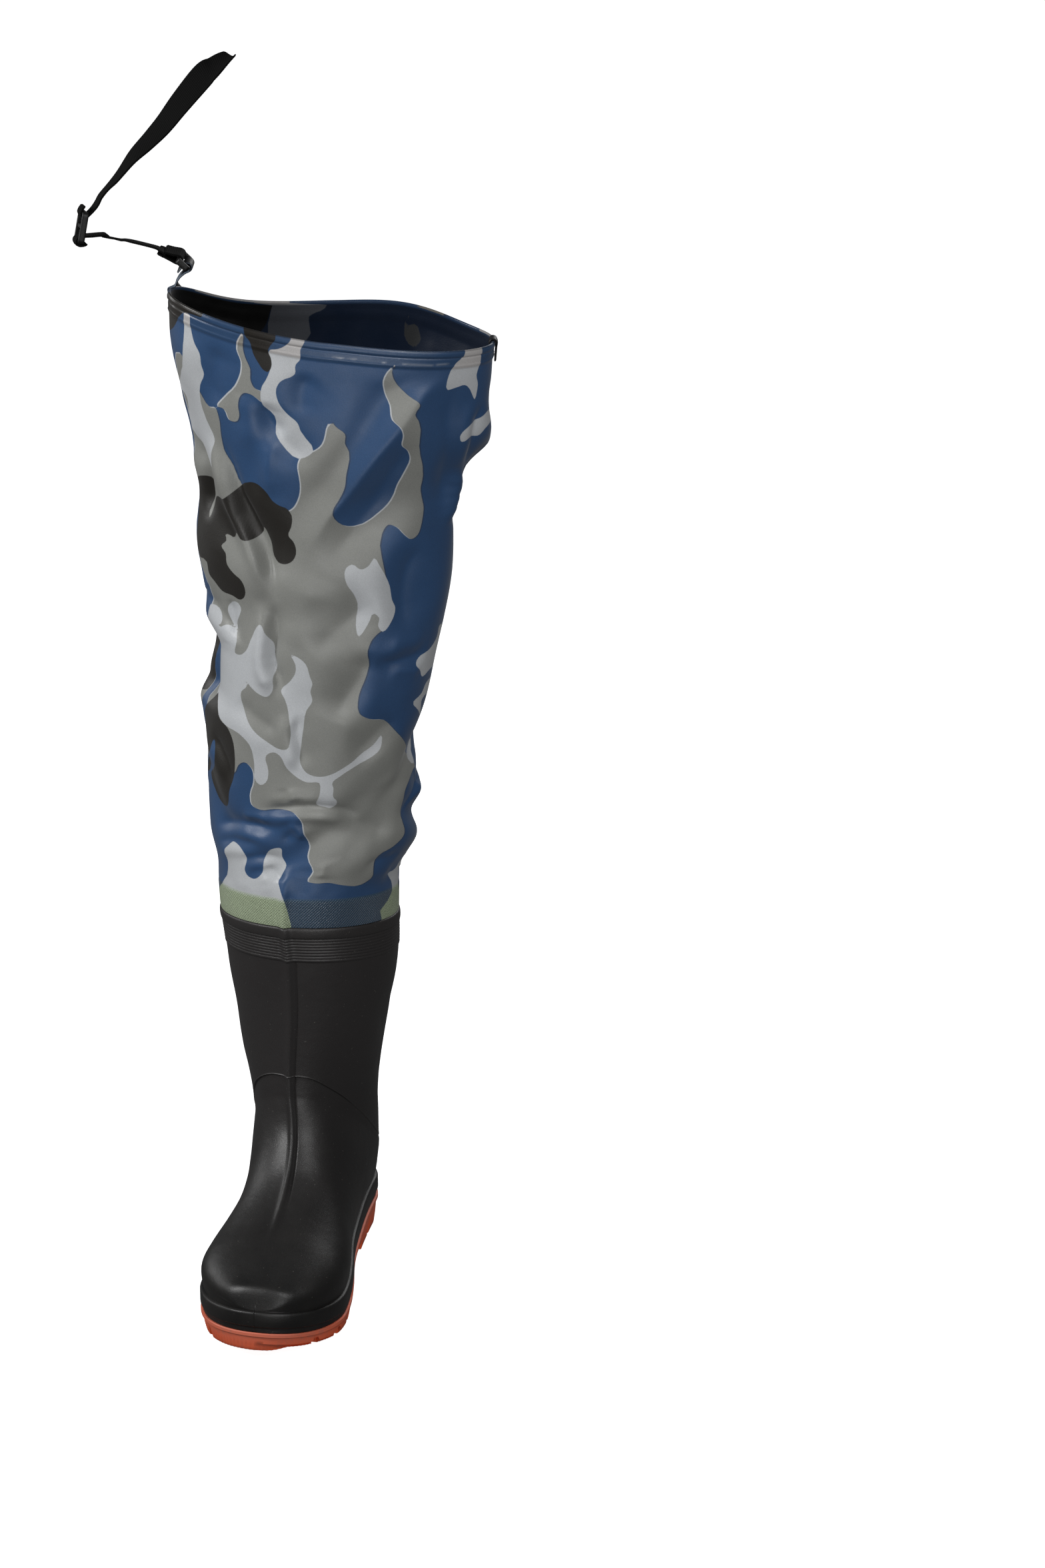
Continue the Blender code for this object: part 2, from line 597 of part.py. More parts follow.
def build_upper(material: bpy.types.Material) -> bpy.types.Object:
    """The boot: one hollow solid, open at the weld neck and under the foot."""
    turns = turns_of_columns()
    rows, cols = np.meshgrid(boot_rows(), turns, indexing="ij")
    warped = warp_rows(rows, cols)
    base = boot_surface(warped, cols)
    normal = grid_normals(base)
    outer = base + normal * wall_steps(rows, cols)[..., None] * (rows > 1e-6)[..., None]
    inner = base - normal * BOOT_WALL
    closed = rows[:, 0] >= CORNER_ROW - 1e-6
    for face in (outer, inner):
        face[closed, -1] = face[closed, 0]
        face[0] = face[0].mean(axis=0)
    inner[rows[:, 0] < CORNER_ROW, 0, 2] = base[rows[:, 0] < CORNER_ROW, 0, 2]
    inner[rows[:, 0] < CORNER_ROW, -1, 2] = base[rows[:, 0] < CORNER_ROW, -1, 2]
    thin = -(LEG_WALL + CLEARANCE)
    neck = neck_points(turns, thin, np.array([0.0, 0.5, 1.0]))
    neck_inner = neck_points(turns, -BOOT_WALL, np.array([0.5, 1.0]))
    for face in (neck, neck_inner):
        face[:, -1] = face[:, 0]

    work = Builder()
    out_ids = work.add(np.concatenate([outer, neck]))
    in_ids = work.add(np.concatenate([inner, neck_inner]))
    work.grid(out_ids)
    work.grid(in_ids, flip=True)
    work.strip(out_ids[-1], in_ids[-1])

    corner = int(np.argmax(closed))
    along = foot_stations()
    foot = seat(along) + CLEARANCE
    outer_loop = np.concatenate([out_ids[:corner + 1, 0], out_ids[corner - 1::-1, -1]])
    inner_loop = np.concatenate([in_ids[:corner + 1, 0], in_ids[corner - 1::-1, -1]])
    bands = (
        (0.25 * FOXING_PROUD, FOXING_HEIGHT - 0.5 * FOXING_ROUND),
        (FOXING_PROUD, FOXING_HEIGHT - 1.5 * FOXING_ROUND),
        (FOXING_PROUD, FOXING_UNDERCUT + FOXING_ROUND),
        (0.5 * FOXING_PROUD, FOXING_UNDERCUT),
        (0.45 * FOXING_PROUD, 0.0),
    )
    loops = [outer_loop] + [work.add(ring_of(along, grow, foot + rise)) for grow, rise in bands]
    for high, low in zip(loops[:-1], loops[1:]):
        work.strip(high, low)
    inside = work.add(ring_of(along, -BOOT_WALL, foot))
    work.strip(inside, inner_loop)
    work.strip(loops[-1], inside)
    return work.build("upper", material)


def build_insole(material: bpy.types.Material) -> bpy.types.Object:
    """Footbed inside the boot's wall, lying on the sole's top."""
    along = foot_stations()[::-1]
    grow = -(BOOT_WALL + INSOLE_PLAY)
    low = seat(along) + CLEARANCE
    work = Builder()
    rings = [work.add(ring_of(along, grow, low + INSOLE_THICKNESS)), work.add(ring_of(along, grow, low))]
    work.strip(rings[0], rings[1], flip=True)
    lateral = np.arange(len(along))
    medial = 2 * len(along) - 2 - lateral
    work.strip(rings[0][lateral], rings[0][medial])
    work.strip(rings[1][lateral], rings[1][medial], flip=True)
    return work.build("insole", material)


def collar_edge(turns: np.ndarray) -> np.ndarray:
    """Height of the collar's edge, turning from the back by the lateral side and the front."""
    angle = 2 * math.pi * turns
    return (COLLAR_HEIGHT + LATERAL_RISE * np.sin(angle) + FRONT_DROP * np.cos(angle)
            - CORNER_RISE * np.cos(2 * angle))


def leg_surface(rises: np.ndarray, turns: np.ndarray) -> np.ndarray:
    """Outer face of the leg above the weld band, with its folds.

    A ring is a superellipse whose wide axis turns with the rise; close to the band it eases into the shape
    of the boot's rim. A fold presses its ring inwards by a bell curve across and along its line.
    """
    knots = column(RINGS, "rise")

    def at_rise(name: str) -> np.ndarray:
        return smooth(knots, column(RINGS, name), rises)

    angle = 2 * math.pi * turns
    power = 2 / at_rise("square")
    cos, sin = np.cos(angle), np.sin(angle)
    deep = at_rise("half_deep") * COLLAR_DEPTH * np.sign(cos) * np.abs(cos) ** power
    wide = at_rise("half_wide") * COLLAR_WIDTH * np.sign(sin) * np.abs(sin) ** power
    press = np.zeros_like(rises)
    for fold in FOLDS:
        around = (turns - fold.turn + 0.5) % 1.0 - 0.5
        up = rises - fold.rise
        line = up - fold.lean * around
        press += fold.depth * COLLAR_DEPTH * np.exp(-(line / fold.wide) ** 2 - (around / fold.long) ** 2)
    size = np.sqrt(deep ** 2 + wide ** 2)
    shrink = 1 - press / np.maximum(size, 1e-6)
    turn = COLLAR_TURN * at_rise("turn")
    centre_x = at_rise("across") * COLLAR_WIDTH
    centre_y = at_rise("deep") * COLLAR_DEPTH
    x = centre_x + shrink * (-wide * np.cos(turn) - deep * np.sin(turn))
    y = centre_y + shrink * (deep * np.cos(turn) - wide * np.sin(turn))
    low = RIM_HEIGHT + WELD_HEIGHT
    z = low + rises * (collar_edge(turns) - low)
    return np.stack([x, y, z], axis=-1)


def leg_turns() -> np.ndarray:
    """Turns round the leg in step with the boot's columns."""
    return (turns_of_columns() + 1) / 2


def leg_rings(rises: np.ndarray) -> np.ndarray:
    """Leg surface with its foot eased into the boot's rim."""
    turns = leg_turns()
    rows, cols = np.meshgrid(rises, turns, indexing="ij")
    free = leg_surface(rows, cols)
    band = neck_points(turns_of_columns(), 0.0, np.array([0.0, 0.5, 1.0]))[-1]
    blend = ease(rows / LEG_EASE)[..., None]
    lifted = np.broadcast_to(band, free.shape).copy()
    lifted[..., 2] += rows * (collar_edge(cols) - band[None, :, 2])
    return lifted + blend * (free - lifted)


def build_leg(material: bpy.types.Material) -> bpy.types.Object:
    """The fabric tube from the weld band to the folded hem."""
    height = COLLAR_HEIGHT - RIM_HEIGHT - WELD_HEIGHT
    hem = 1 - HEM_HEIGHT / height
    step = 0.5 * HEM_SLOPE / height
    rises = np.concatenate([[0.02, 0.05, 0.09, 0.13, 0.17, 0.21, 0.26], np.arange(0.32, 0.91, 0.0575),
                            [hem - step, hem + step, 1.0]])
    free = leg_rings(rises)
    turns = turns_of_columns()
    above_rim = (CLEARANCE + 0.0002) / WELD_HEIGHT
    band = neck_points(turns, 0.0, np.array([above_rim, 0.5, 1.0]))
    face = np.concatenate([band, free])
    normal = ring_normals(face)
    band_inner = neck_points(turns, -LEG_WALL, np.array([above_rim, 0.5, 1.0]))
    proud = np.where(np.arange(len(face)) >= len(face) - 2, HEM_PROUD, 0.0)[:, None, None]
    outer = face + normal * proud
    inner = face - normal * (LEG_WALL + 0.5 * proud)
    inner[:len(band)] = band_inner
    for side in (outer, inner):
        side[:, -1] = side[:, 0]
    work = Builder()
    out_ids, in_ids = work.add(outer), work.add(inner)
    work.grid(out_ids)
    work.grid(in_ids, flip=True)
    work.strip(out_ids[-1], in_ids[-1])
    work.strip(in_ids[0], out_ids[0])
    return work.build("leg", material)


def ring_normals(points: np.ndarray) -> np.ndarray:
    """Outward unit normals of stacked closed rings."""
    climb = np.gradient(points, axis=0)
    open_ring = points[:, :-1]
    along = 0.5 * (np.roll(open_ring, -1, axis=1) - np.roll(open_ring, 1, axis=1))
    along = np.concatenate([along, along[:, :1]], axis=1)
    normal = np.cross(along, climb)
    return normal / np.linalg.norm(normal, axis=-1, keepdims=True)


def hem_frame(turn: float, span: float, rises: np.ndarray) -> tuple:
    """Points of the hem's face and their normals, over `span` metres round a collar corner.

    The columns are the leg's own where they fall inside the span, so that a strip follows its facets.
    """
    turns = leg_turns()
    grid = leg_rings(rises)
    normals = ring_normals(grid)
    near = int(np.argmin(np.abs(turns - turn)))
    speed = np.linalg.norm(grid[-1, near + 1] - grid[-1, near - 1]) / (turns[near + 1] - turns[near - 1])
    ends = turn + 0.5 * span / speed * np.array([-1.0, 0.0, 1.0])
    wanted = np.unique(np.concatenate([ends, turns[(turns > ends[0]) & (turns < ends[2])]]))
    low = np.searchsorted(turns, wanted) - 1
    part = ((wanted - turns[low]) / (turns[low + 1] - turns[low]))[:, None]
    points = grid[:, low] * (1 - part) + grid[:, low + 1] * part
    facing = normals[:, low] * (1 - part) + normals[:, low + 1] * part
    return points, facing / np.linalg.norm(facing, axis=-1, keepdims=True)


def sheet(work: Builder, middle: np.ndarray, normal: np.ndarray, thick: float) -> None:
    """Close a strip round its middle surface, a grid of rows along it and columns across it."""
    front = work.add(middle + 0.5 * thick * normal)
    behind = work.add(middle - 0.5 * thick * normal)
    work.grid(front)
    work.grid(behind, flip=True)
    work.strip(behind[0], front[0])
    work.strip(front[-1], behind[-1])
    work.strip(front[:, 0], behind[:, 0])
    work.strip(behind[:, -1], front[:, -1])


def build_corner_tab(material: bpy.types.Material) -> bpy.types.Object:
    """Strip folded over the collar's medial corner."""
    height = COLLAR_HEIGHT - RIM_HEIGHT - WELD_HEIGHT
    drop = CORNER_TAB_DROP / height
    rises = np.array([1 - drop, 1 - 0.5 * drop, 1.0])
    face, normal = hem_frame(0.75, CORNER_TAB_WIDTH, rises)
    clear = CLEARANCE + 0.5 * TAB_THICKNESS
    outside = face + normal * (HEM_PROUD + clear + CLEARANCE)
    inside = face - normal * (LEG_WALL + 0.5 * HEM_PROUD + clear + 2 * CLEARANCE)
    up = np.array([0.0, 0.0, 1.0])
    bridge = np.stack([outside[-1] + up * clear, inside[-1] + up * clear])
    bridge_normal = np.stack([normal[-1] + up, up - normal[-1]])
    bridge_normal /= np.linalg.norm(bridge_normal, axis=-1, keepdims=True)
    middle = np.concatenate([outside, bridge, inside[::-1]])
    normals = np.concatenate([normal, bridge_normal, -normal[::-1]])
    work = Builder()
    sheet(work, middle, normals, TAB_THICKNESS)
    return work.build("corner_tab", material)


def strap_place(out: np.ndarray, up: np.ndarray) -> np.ndarray:
    """Point of the strap's own plane, measured from the collar's lateral corner."""
    corner = leg_surface(np.array([1.0]), np.array([TAB_TURN]))[0]
    lateral = np.array([-math.cos(COLLAR_TURN), -math.sin(COLLAR_TURN), 0.0])
    return corner + np.multiply.outer(out, lateral) + np.multiply.outer(up, np.array([0.0, 0.0, 1.0]))


def across_strap() -> np.ndarray:
    """Direction of the strap's width at the collar."""
    return np.array([-math.sin(COLLAR_TURN), math.cos(COLLAR_TURN), 0.0])


def wrap(bar: np.ndarray, radius: float, middle: float, way: float = 1.0) -> np.ndarray:
    """Half turn of a strip round a bar: `middle` is its far side in degrees, `way` is +1 or -1."""
    angles = np.radians(middle + way * np.linspace(-90.0, 90.0, 7))
    return bar + radius * np.stack([np.cos(angles), np.sin(angles)], axis=-1)


def metres(marks: tuple) -> np.ndarray:
    """Marks of a strap's line as an array of metres."""
    return WEBBING_WIDTH * np.array(marks)


def webbing(name: str, line: np.ndarray, twists: np.ndarray, material: bpy.types.Material
            ) -> bpy.types.Object:
    """Strip of webbing along a line in the strap's plane, its width turned by `twists` radians."""
    middle = strap_place(line[:, 0], line[:, 1])
    along = np.gradient(middle, axis=0)
    along /= np.linalg.norm(along, axis=-1, keepdims=True)
    across = np.broadcast_to(across_strap(), along.shape)
    face = np.cross(along, across)
    turned = across * np.cos(twists)[:, None] + face * np.sin(twists)[:, None]
    normal = np.cross(turned, along)
    half = 0.5 * WEBBING_WIDTH * turned
    work = Builder()
    sheet(work, np.stack([middle - half, middle + half], axis=1), np.stack([normal, normal], axis=1),
          WEBBING_THICKNESS)
    return work.build(name, material)


def bar_middle(buckle: Buckle, bar: int) -> np.ndarray:
    """Middle of one bar of a buckle, in the strap's plane."""
    offset = (bar - 0.5 * (buckle.bars - 1)) * (BUCKLE_BAR + buckle.gap)
    run = np.array([math.cos(buckle.lean), math.sin(buckle.lean)])
    return WEBBING_WIDTH * np.array([buckle.out, buckle.up]) + offset * run


def build_buckle(name: str, buckle: Buckle, material: bpy.types.Material) -> bpy.types.Object:
    """Flat frame of parallel bars between two rails, its bars lying across the strap."""
    window = WEBBING_WIDTH + 2 * BUCKLE_MARGIN
    across = np.array([-0.5 * window - BUCKLE_BAR, -0.5 * window, 0.5 * window, 0.5 * window + BUCKLE_BAR])
    steps = [BUCKLE_BAR, buckle.gap] * (buckle.bars - 1) + [BUCKLE_BAR]
    long = np.cumsum([0.0, *steps]) - 0.5 * sum(steps)
    foot = strap_place(np.zeros(1), np.zeros(1))[0]
    origin = strap_place(np.array([WEBBING_WIDTH * buckle.out]), np.array([WEBBING_WIDTH * buckle.up]))[0]
    lean = strap_place(np.array([math.cos(buckle.lean)]), np.array([math.sin(buckle.lean)]))[0]
    run = lean - foot
    side = across_strap()
    thick = np.cross(run, side)

    def place(i: int, j: int, k: int) -> np.ndarray:
        return origin + run * long[i] + side * across[j] + thick * (k - 0.5) * BUCKLE_THICKNESS

    solid = np.ones((len(long) - 1, 3), dtype=bool)
    solid[1::2, 1] = False
    padded = np.pad(solid, 1)
    work = Builder()

    def quad(*corners: tuple) -> None:
        ids = work.add(np.array([place(*corner) for corner in corners]))
        work.faces.append(ids[None, :])

    for i in range(solid.shape[0]):
        for j in range(3):
            if not solid[i, j]:
                continue
            quad((i, j, 1), (i + 1, j, 1), (i + 1, j + 1, 1), (i, j + 1, 1))
            quad((i, j, 0), (i, j + 1, 0), (i + 1, j + 1, 0), (i + 1, j, 0))
            if not padded[i, j + 1]:
                quad((i, j, 0), (i, j, 1), (i, j + 1, 1), (i, j + 1, 0))
            if not padded[i + 2, j + 1]:
                quad((i + 1, j, 0), (i + 1, j + 1, 0), (i + 1, j + 1, 1), (i + 1, j, 1))
            if not padded[i + 1, j]:
                quad((i, j, 0), (i + 1, j, 0), (i + 1, j, 1), (i, j, 1))
            if not padded[i + 1, j + 2]:
                quad((i, j + 1, 0), (i, j + 1, 1), (i + 1, j + 1, 1), (i + 1, j + 1, 0))
    return work.build(name, material)


def build_tab(material: bpy.types.Material) -> bpy.types.Object:
    """Strip welded on the hem, with its end turned round the ring's lower bar."""
    height = COLLAR_HEIGHT - RIM_HEIGHT - WELD_HEIGHT
    rises = 1 - TAB_LAP / height * np.array([1.0, 0.5, 0.0])
    face, normal = hem_frame(TAB_TURN, TAB_WIDTH, rises)
    clear = HEM_PROUD + 2 * CLEARANCE + 0.5 * TAB_THICKNESS
    radius = BAR_REACH + CLEARANCE + 0.5 * TAB_THICKNESS
    turned = wrap(bar_middle(STRAP_RING, 0), radius, TAB_WRAP, -1.0)
    line = np.concatenate([metres(TAB_RUN), turned, metres(TAB_TAIL)])
    points = strap_place(line[:, 0], line[:, 1])
    spread = np.linspace(-0.5, 0.5, face.shape[1])[None, :, None] * TAB_WIDTH
    free = points[:, None, :] - spread * across_strap()
    middle = np.concatenate([face + normal * clear, free])
    facing = np.cross(np.gradient(middle, axis=1), np.gradient(middle, axis=0))
    facing /= np.linalg.norm(facing, axis=-1, keepdims=True)
    work = Builder()
    sheet(work, middle, facing, TAB_THICKNESS)
    return work.build("strap_tab", material)


def build_lower(material: bpy.types.Material) -> bpy.types.Object:
    """Short webbing from the ring's upper bar to the slider's low bar, doubled back at both."""
    radius = BAR_REACH + CLEARANCE + 0.5 * WEBBING_THICKNESS
    ring_turn = wrap(bar_middle(STRAP_RING, 1), radius, RING_WRAP)
    slider_turn = wrap(bar_middle(SLIDER, 0), radius, SLIDER_WRAP, -1.0)
    parts = [metres(RING_TAIL), ring_turn, metres(LOWER_RUN), slider_turn, metres(SLIDER_TAIL)]
    twists = [np.zeros(len(part)) for part in parts]
    twists[2] = LOWER_ROLL * np.sin(np.linspace(0, math.pi, len(LOWER_RUN)))
    return webbing("strap_lower", np.concatenate(parts), np.concatenate(twists), material)


def build_strap_upper(material: bpy.types.Material) -> bpy.types.Object:
    """Wide webbing from the slider's high bar up to the belt, its face turned on the way."""
    radius = BAR_REACH + CLEARANCE + 0.5 * WEBBING_THICKNESS
    start = np.concatenate([metres(UPPER_TAIL), wrap(bar_middle(SLIDER, 2), radius, UPPER_WRAP, -1.0)])
    turn = UPPER_TWIST * ease(np.arange(len(UPPER_RUN)) / 3.0)
    twists = np.concatenate([np.zeros(len(start)), turn])
    return webbing("strap_upper", np.concatenate([start, metres(UPPER_RUN)]), twists, material)


def main() -> None:
    """Build every piece."""
    clear_scene()
    black = plastic("boot_black", (0.012, 0.012, 0.013), 0.5)
    webs = plastic("webbing_black", (0.01, 0.01, 0.011), 0.85)
    hard = plastic("buckle_grey", (0.03, 0.03, 0.033), 0.4)
    build_outsole(plastic("sole_red", (0.30, 0.055, 0.022), 0.55))
    build_upper(black)
    build_insole(plastic("insole_grey", (0.05, 0.05, 0.055), 0.9))
    build_leg(plastic("leg_print", (0.05, 0.09, 0.17), 0.45))
    build_corner_tab(black)
    build_tab(black)
    build_buckle("strap_ring", STRAP_RING, hard)
    build_lower(webs)
    build_buckle("slider", SLIDER, hard)
    build_strap_upper(webs)


main()
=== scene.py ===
"""Hip wader for the right foot: moulded boot, lugged sole, printed leg and belt strap.

The toe points to -Y, the lateral side to -X and the medial side to +X. The origin lies on the floor under
the middle of the heel. Lengths are in metres.
"""

import logging
import math
from dataclasses import dataclass, field
from enum import Enum
from typing import NamedTuple

import bpy
import numpy as np
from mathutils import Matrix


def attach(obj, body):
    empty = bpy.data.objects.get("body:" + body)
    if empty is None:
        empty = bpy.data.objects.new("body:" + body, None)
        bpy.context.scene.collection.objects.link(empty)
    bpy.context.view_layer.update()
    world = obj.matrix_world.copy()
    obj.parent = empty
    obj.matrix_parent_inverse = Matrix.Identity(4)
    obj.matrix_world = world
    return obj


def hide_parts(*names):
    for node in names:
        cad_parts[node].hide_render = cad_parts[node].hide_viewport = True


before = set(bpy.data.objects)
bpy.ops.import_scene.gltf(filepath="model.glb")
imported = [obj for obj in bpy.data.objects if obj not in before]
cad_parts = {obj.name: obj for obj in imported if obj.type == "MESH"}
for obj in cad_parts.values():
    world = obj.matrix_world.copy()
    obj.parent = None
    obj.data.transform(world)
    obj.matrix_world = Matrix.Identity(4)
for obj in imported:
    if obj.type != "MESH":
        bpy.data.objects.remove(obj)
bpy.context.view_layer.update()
LOG = logging.getLogger("wader")
Array = np.ndarray
Socket = bpy.types.NodeSocket
Material = bpy.types.Material


# Small tools for curves

def column(table: tuple, name: str) -> Array:
    """Take one named column of a table as an array."""
    return np.array([getattr(row, name) for row in table], dtype=float)


def pairs(chart: tuple) -> Array:
    """Give charted thousandths, a turn and a rise in turn, as rows of two shares."""
    return np.array(chart, dtype=float).reshape(-1, 2) / 1000


def smooth(knots: Array, values: Array, at: Array) -> Array:
    """Run a cubic through the knots, each slope the mean of the two chords beside it.

    Args:
        knots: rising places of the values.
        values: values at the knots, with any further axes.
        at: places wanted.

    Returns:
        The cubic's values, shaped as `at` and then the further axes of `values`.
    """
    slopes = np.gradient(values, knots, axis=0)
    at = np.clip(at, knots[0], knots[-1])
    low = np.clip(np.searchsorted(knots, at, side="right") - 1, 0, len(knots) - 2)
    gap = knots[low + 1] - knots[low]
    part = (at - knots[low]) / gap
    shape = part.shape + (1,) * (values.ndim - 1)
    part, gap = part.reshape(shape), gap.reshape(shape)
    return ((1 + 2 * part) * (1 - part) ** 2 * values[low] + part * (1 - part) ** 2 * gap * slopes[low]
            + part ** 2 * (3 - 2 * part) * values[low + 1] + part ** 2 * (part - 1) * gap * slopes[low + 1])


def ease(value: Array) -> Array:
    """Go smoothly from 0 to 1."""
    value = np.clip(value, 0.0, 1.0)
    return value * value * (3 - 2 * value)


def bell(value: Array) -> Array:
    """Bell curve, 1 at zero and about a third at one."""
    return np.exp(-value ** 2)


def unit(vectors: Array) -> Array:
    """Scale vectors to length one."""
    return vectors / np.maximum(np.linalg.norm(vectors, axis=-1, keepdims=True), 1e-12)


def densify(rows: Array, per: int) -> Array:
    """Run smooth curves down the columns of a grid, with `per` new rows for each old one."""
    step = np.linalg.norm(np.diff(rows, axis=0), axis=-1).reshape(len(rows) - 1, -1).mean(axis=1)
    knots = np.concatenate([[0.0], np.cumsum(np.maximum(step, 1e-6))])
    at = np.interp(np.linspace(0, len(rows) - 1, per * (len(rows) - 1) + 1), np.arange(len(rows)), knots)
    return smooth(knots, rows, at)


def walked(points: Array) -> Array:
    """Length walked along the rows of a grid, from its first row, column by column."""
    step = np.linalg.norm(np.diff(points, axis=0), axis=-1)
    return np.concatenate([np.zeros_like(step[:1]), np.cumsum(step, axis=0)])


def loop_normals(points: Array, closed: bool) -> Array:
    """Unit normals of a grid whose rows climb: the way round crossed with the climb.

    Args:
        points: rows of points, each row going round counter-clockwise seen from above.
        closed: True where the last column repeats the first.

    Returns:
        Outward unit normals of the same shape.
    """
    climb = np.gradient(points, axis=0)
    along = np.gradient(points, axis=1)
    if closed:
        wrap = 0.5 * (points[:, 1] - points[:, -2])
        along[:, 0] = wrap
        along[:, -1] = wrap
    return unit(np.cross(along, climb))


class Shell:
    """Collects grids of points and makes one closed mesh of them."""

    def __init__(self) -> None:
        """Start with no grid."""
        self.points: list[Array] = []
        self.maps: list[Array] = []
        self.quads: list[Array] = []
        self.values: dict[str, list[Array]] = {}
        self.count = 0

    def add(self, points: Array, flat: Array | None = None, flip: bool = False,
            **values: Array) -> None:
        """Add a grid of points joined by quads.

        Args:
            points: rows and columns of points.
            flat: two map coordinates of each point, in metres.
            flip: turn the faces round.
            values: named values of each point, such as distances to a printed edge.
        """
        rows, cols = points.shape[:2]
        ids = np.arange(self.count, self.count + rows * cols).reshape(rows, cols)
        quads = np.stack([ids[:-1, :-1], ids[:-1, 1:], ids[1:, 1:], ids[1:, :-1]], axis=-1).reshape(-1, 4)
        self.quads.append(quads[:, ::-1] if flip else quads)
        self.points.append(points.reshape(-1, 3))
        self.maps.append(np.zeros((rows * cols, 2)) if flat is None else flat.reshape(-1, 2))
        for name, value in values.items():
            self.values.setdefault(name, []).append(np.broadcast_to(value, (rows, cols)).reshape(-1))
        self.count += rows * cols

    def build(self, name: str, material: Material, sharp: float = 40.0) -> bpy.types.Object:
        """Weld equal points, drop faces that vanish and make the object.

        Args:
            name: the piece's name.
            material: its finish.
            sharp: edges bent by more than this many degrees stay sharp.

        Returns:
            The object, at the origin.
        """
        points = np.concatenate(self.points)
        corners = np.concatenate(self.quads)
        maps = np.concatenate(self.maps)
        _, first, where = np.unique(np.round(points / 1e-6).astype(np.int64), axis=0, return_index=True,
                                    return_inverse=True)
        where = where.reshape(-1)
        faces = where[corners]
        keep = faces != np.roll(faces, 1, axis=1)
        sizes = keep.sum(axis=1)
        full, three = sizes == 4, sizes == 3
        tris = faces[three][keep[three]].reshape(-1, 3)
        tri_corners = corners[three][keep[three]].reshape(-1)
        mesh = bpy.data.meshes.new(name)
        mesh.from_pydata(points[first].tolist(), [], faces[full].tolist() + tris.tolist())
        layer = mesh.uv_layers.new(name="flat")
        order = np.concatenate([corners[full].reshape(-1), tri_corners])
        layer.data.foreach_set("uv", maps[order].astype(np.float32).reshape(-1))
        for key, parts in self.values.items():
            stored = mesh.attributes.new(key, "FLOAT", "POINT")
            stored.data.foreach_set("value", np.concatenate(parts)[first].astype(np.float32))
        mesh.materials.append(material)
        mesh.shade_smooth()
        mesh.set_sharp_from_angle(angle=math.radians(sharp))
        thing = bpy.data.objects.new(name, mesh)
        bpy.context.scene.collection.objects.link(thing)
        return thing


def tube(path: Array, side: Array, up: Array, closed: bool) -> Array:
    """Carry a rounded rectangle along a path.

    Args:
        path: points of the middle line.
        side: half width of the bar at each point, as a vector.
        up: half thickness of the bar at each point, as a vector.
        closed: True joins the last ring to the first, False closes both ends to a point.

    Returns:
        Grid of points: a ring is a superellipse of power 4 of the two half sizes.
    """
    angle = np.linspace(0, 2 * math.pi, 21)
    cos, sin = np.cos(angle), np.sin(angle)
    wide = (np.sign(cos) * np.abs(cos) ** 0.5)[None, :, None]
    tall = (np.sign(sin) * np.abs(sin) ** 0.5)[None, :, None]
    rings = path[:, None, :] + wide * side[:, None, :] + tall * up[:, None, :]
    rings[:, -1] = rings[:, 0]
    if closed:
        return np.concatenate([rings, rings[:1]])
    ends = [np.broadcast_to(path[i], rings[:1].shape) for i in (0, -1)]
    return np.concatenate([ends[0], rings, ends[1]])


# Materials

def tone(red: float, green: float, blue: float) -> tuple:
    """Turn a screen tone of 0 to 255 into a linear colour."""
    value = np.array([red, green, blue]) / 255
    linear = np.where(value <= 0.04045, value / 12.92, ((value + 0.055) / 1.055) ** 2.4)
    return (*(float(v) for v in linear), 1.0)


def stand_for(thing: bpy.types.Object, node: str, pieces: list) -> None:
    """Put a piece on the frame in place of its node and list it."""
    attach(thing, "root")
    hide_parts(node)
    pieces.append(thing)


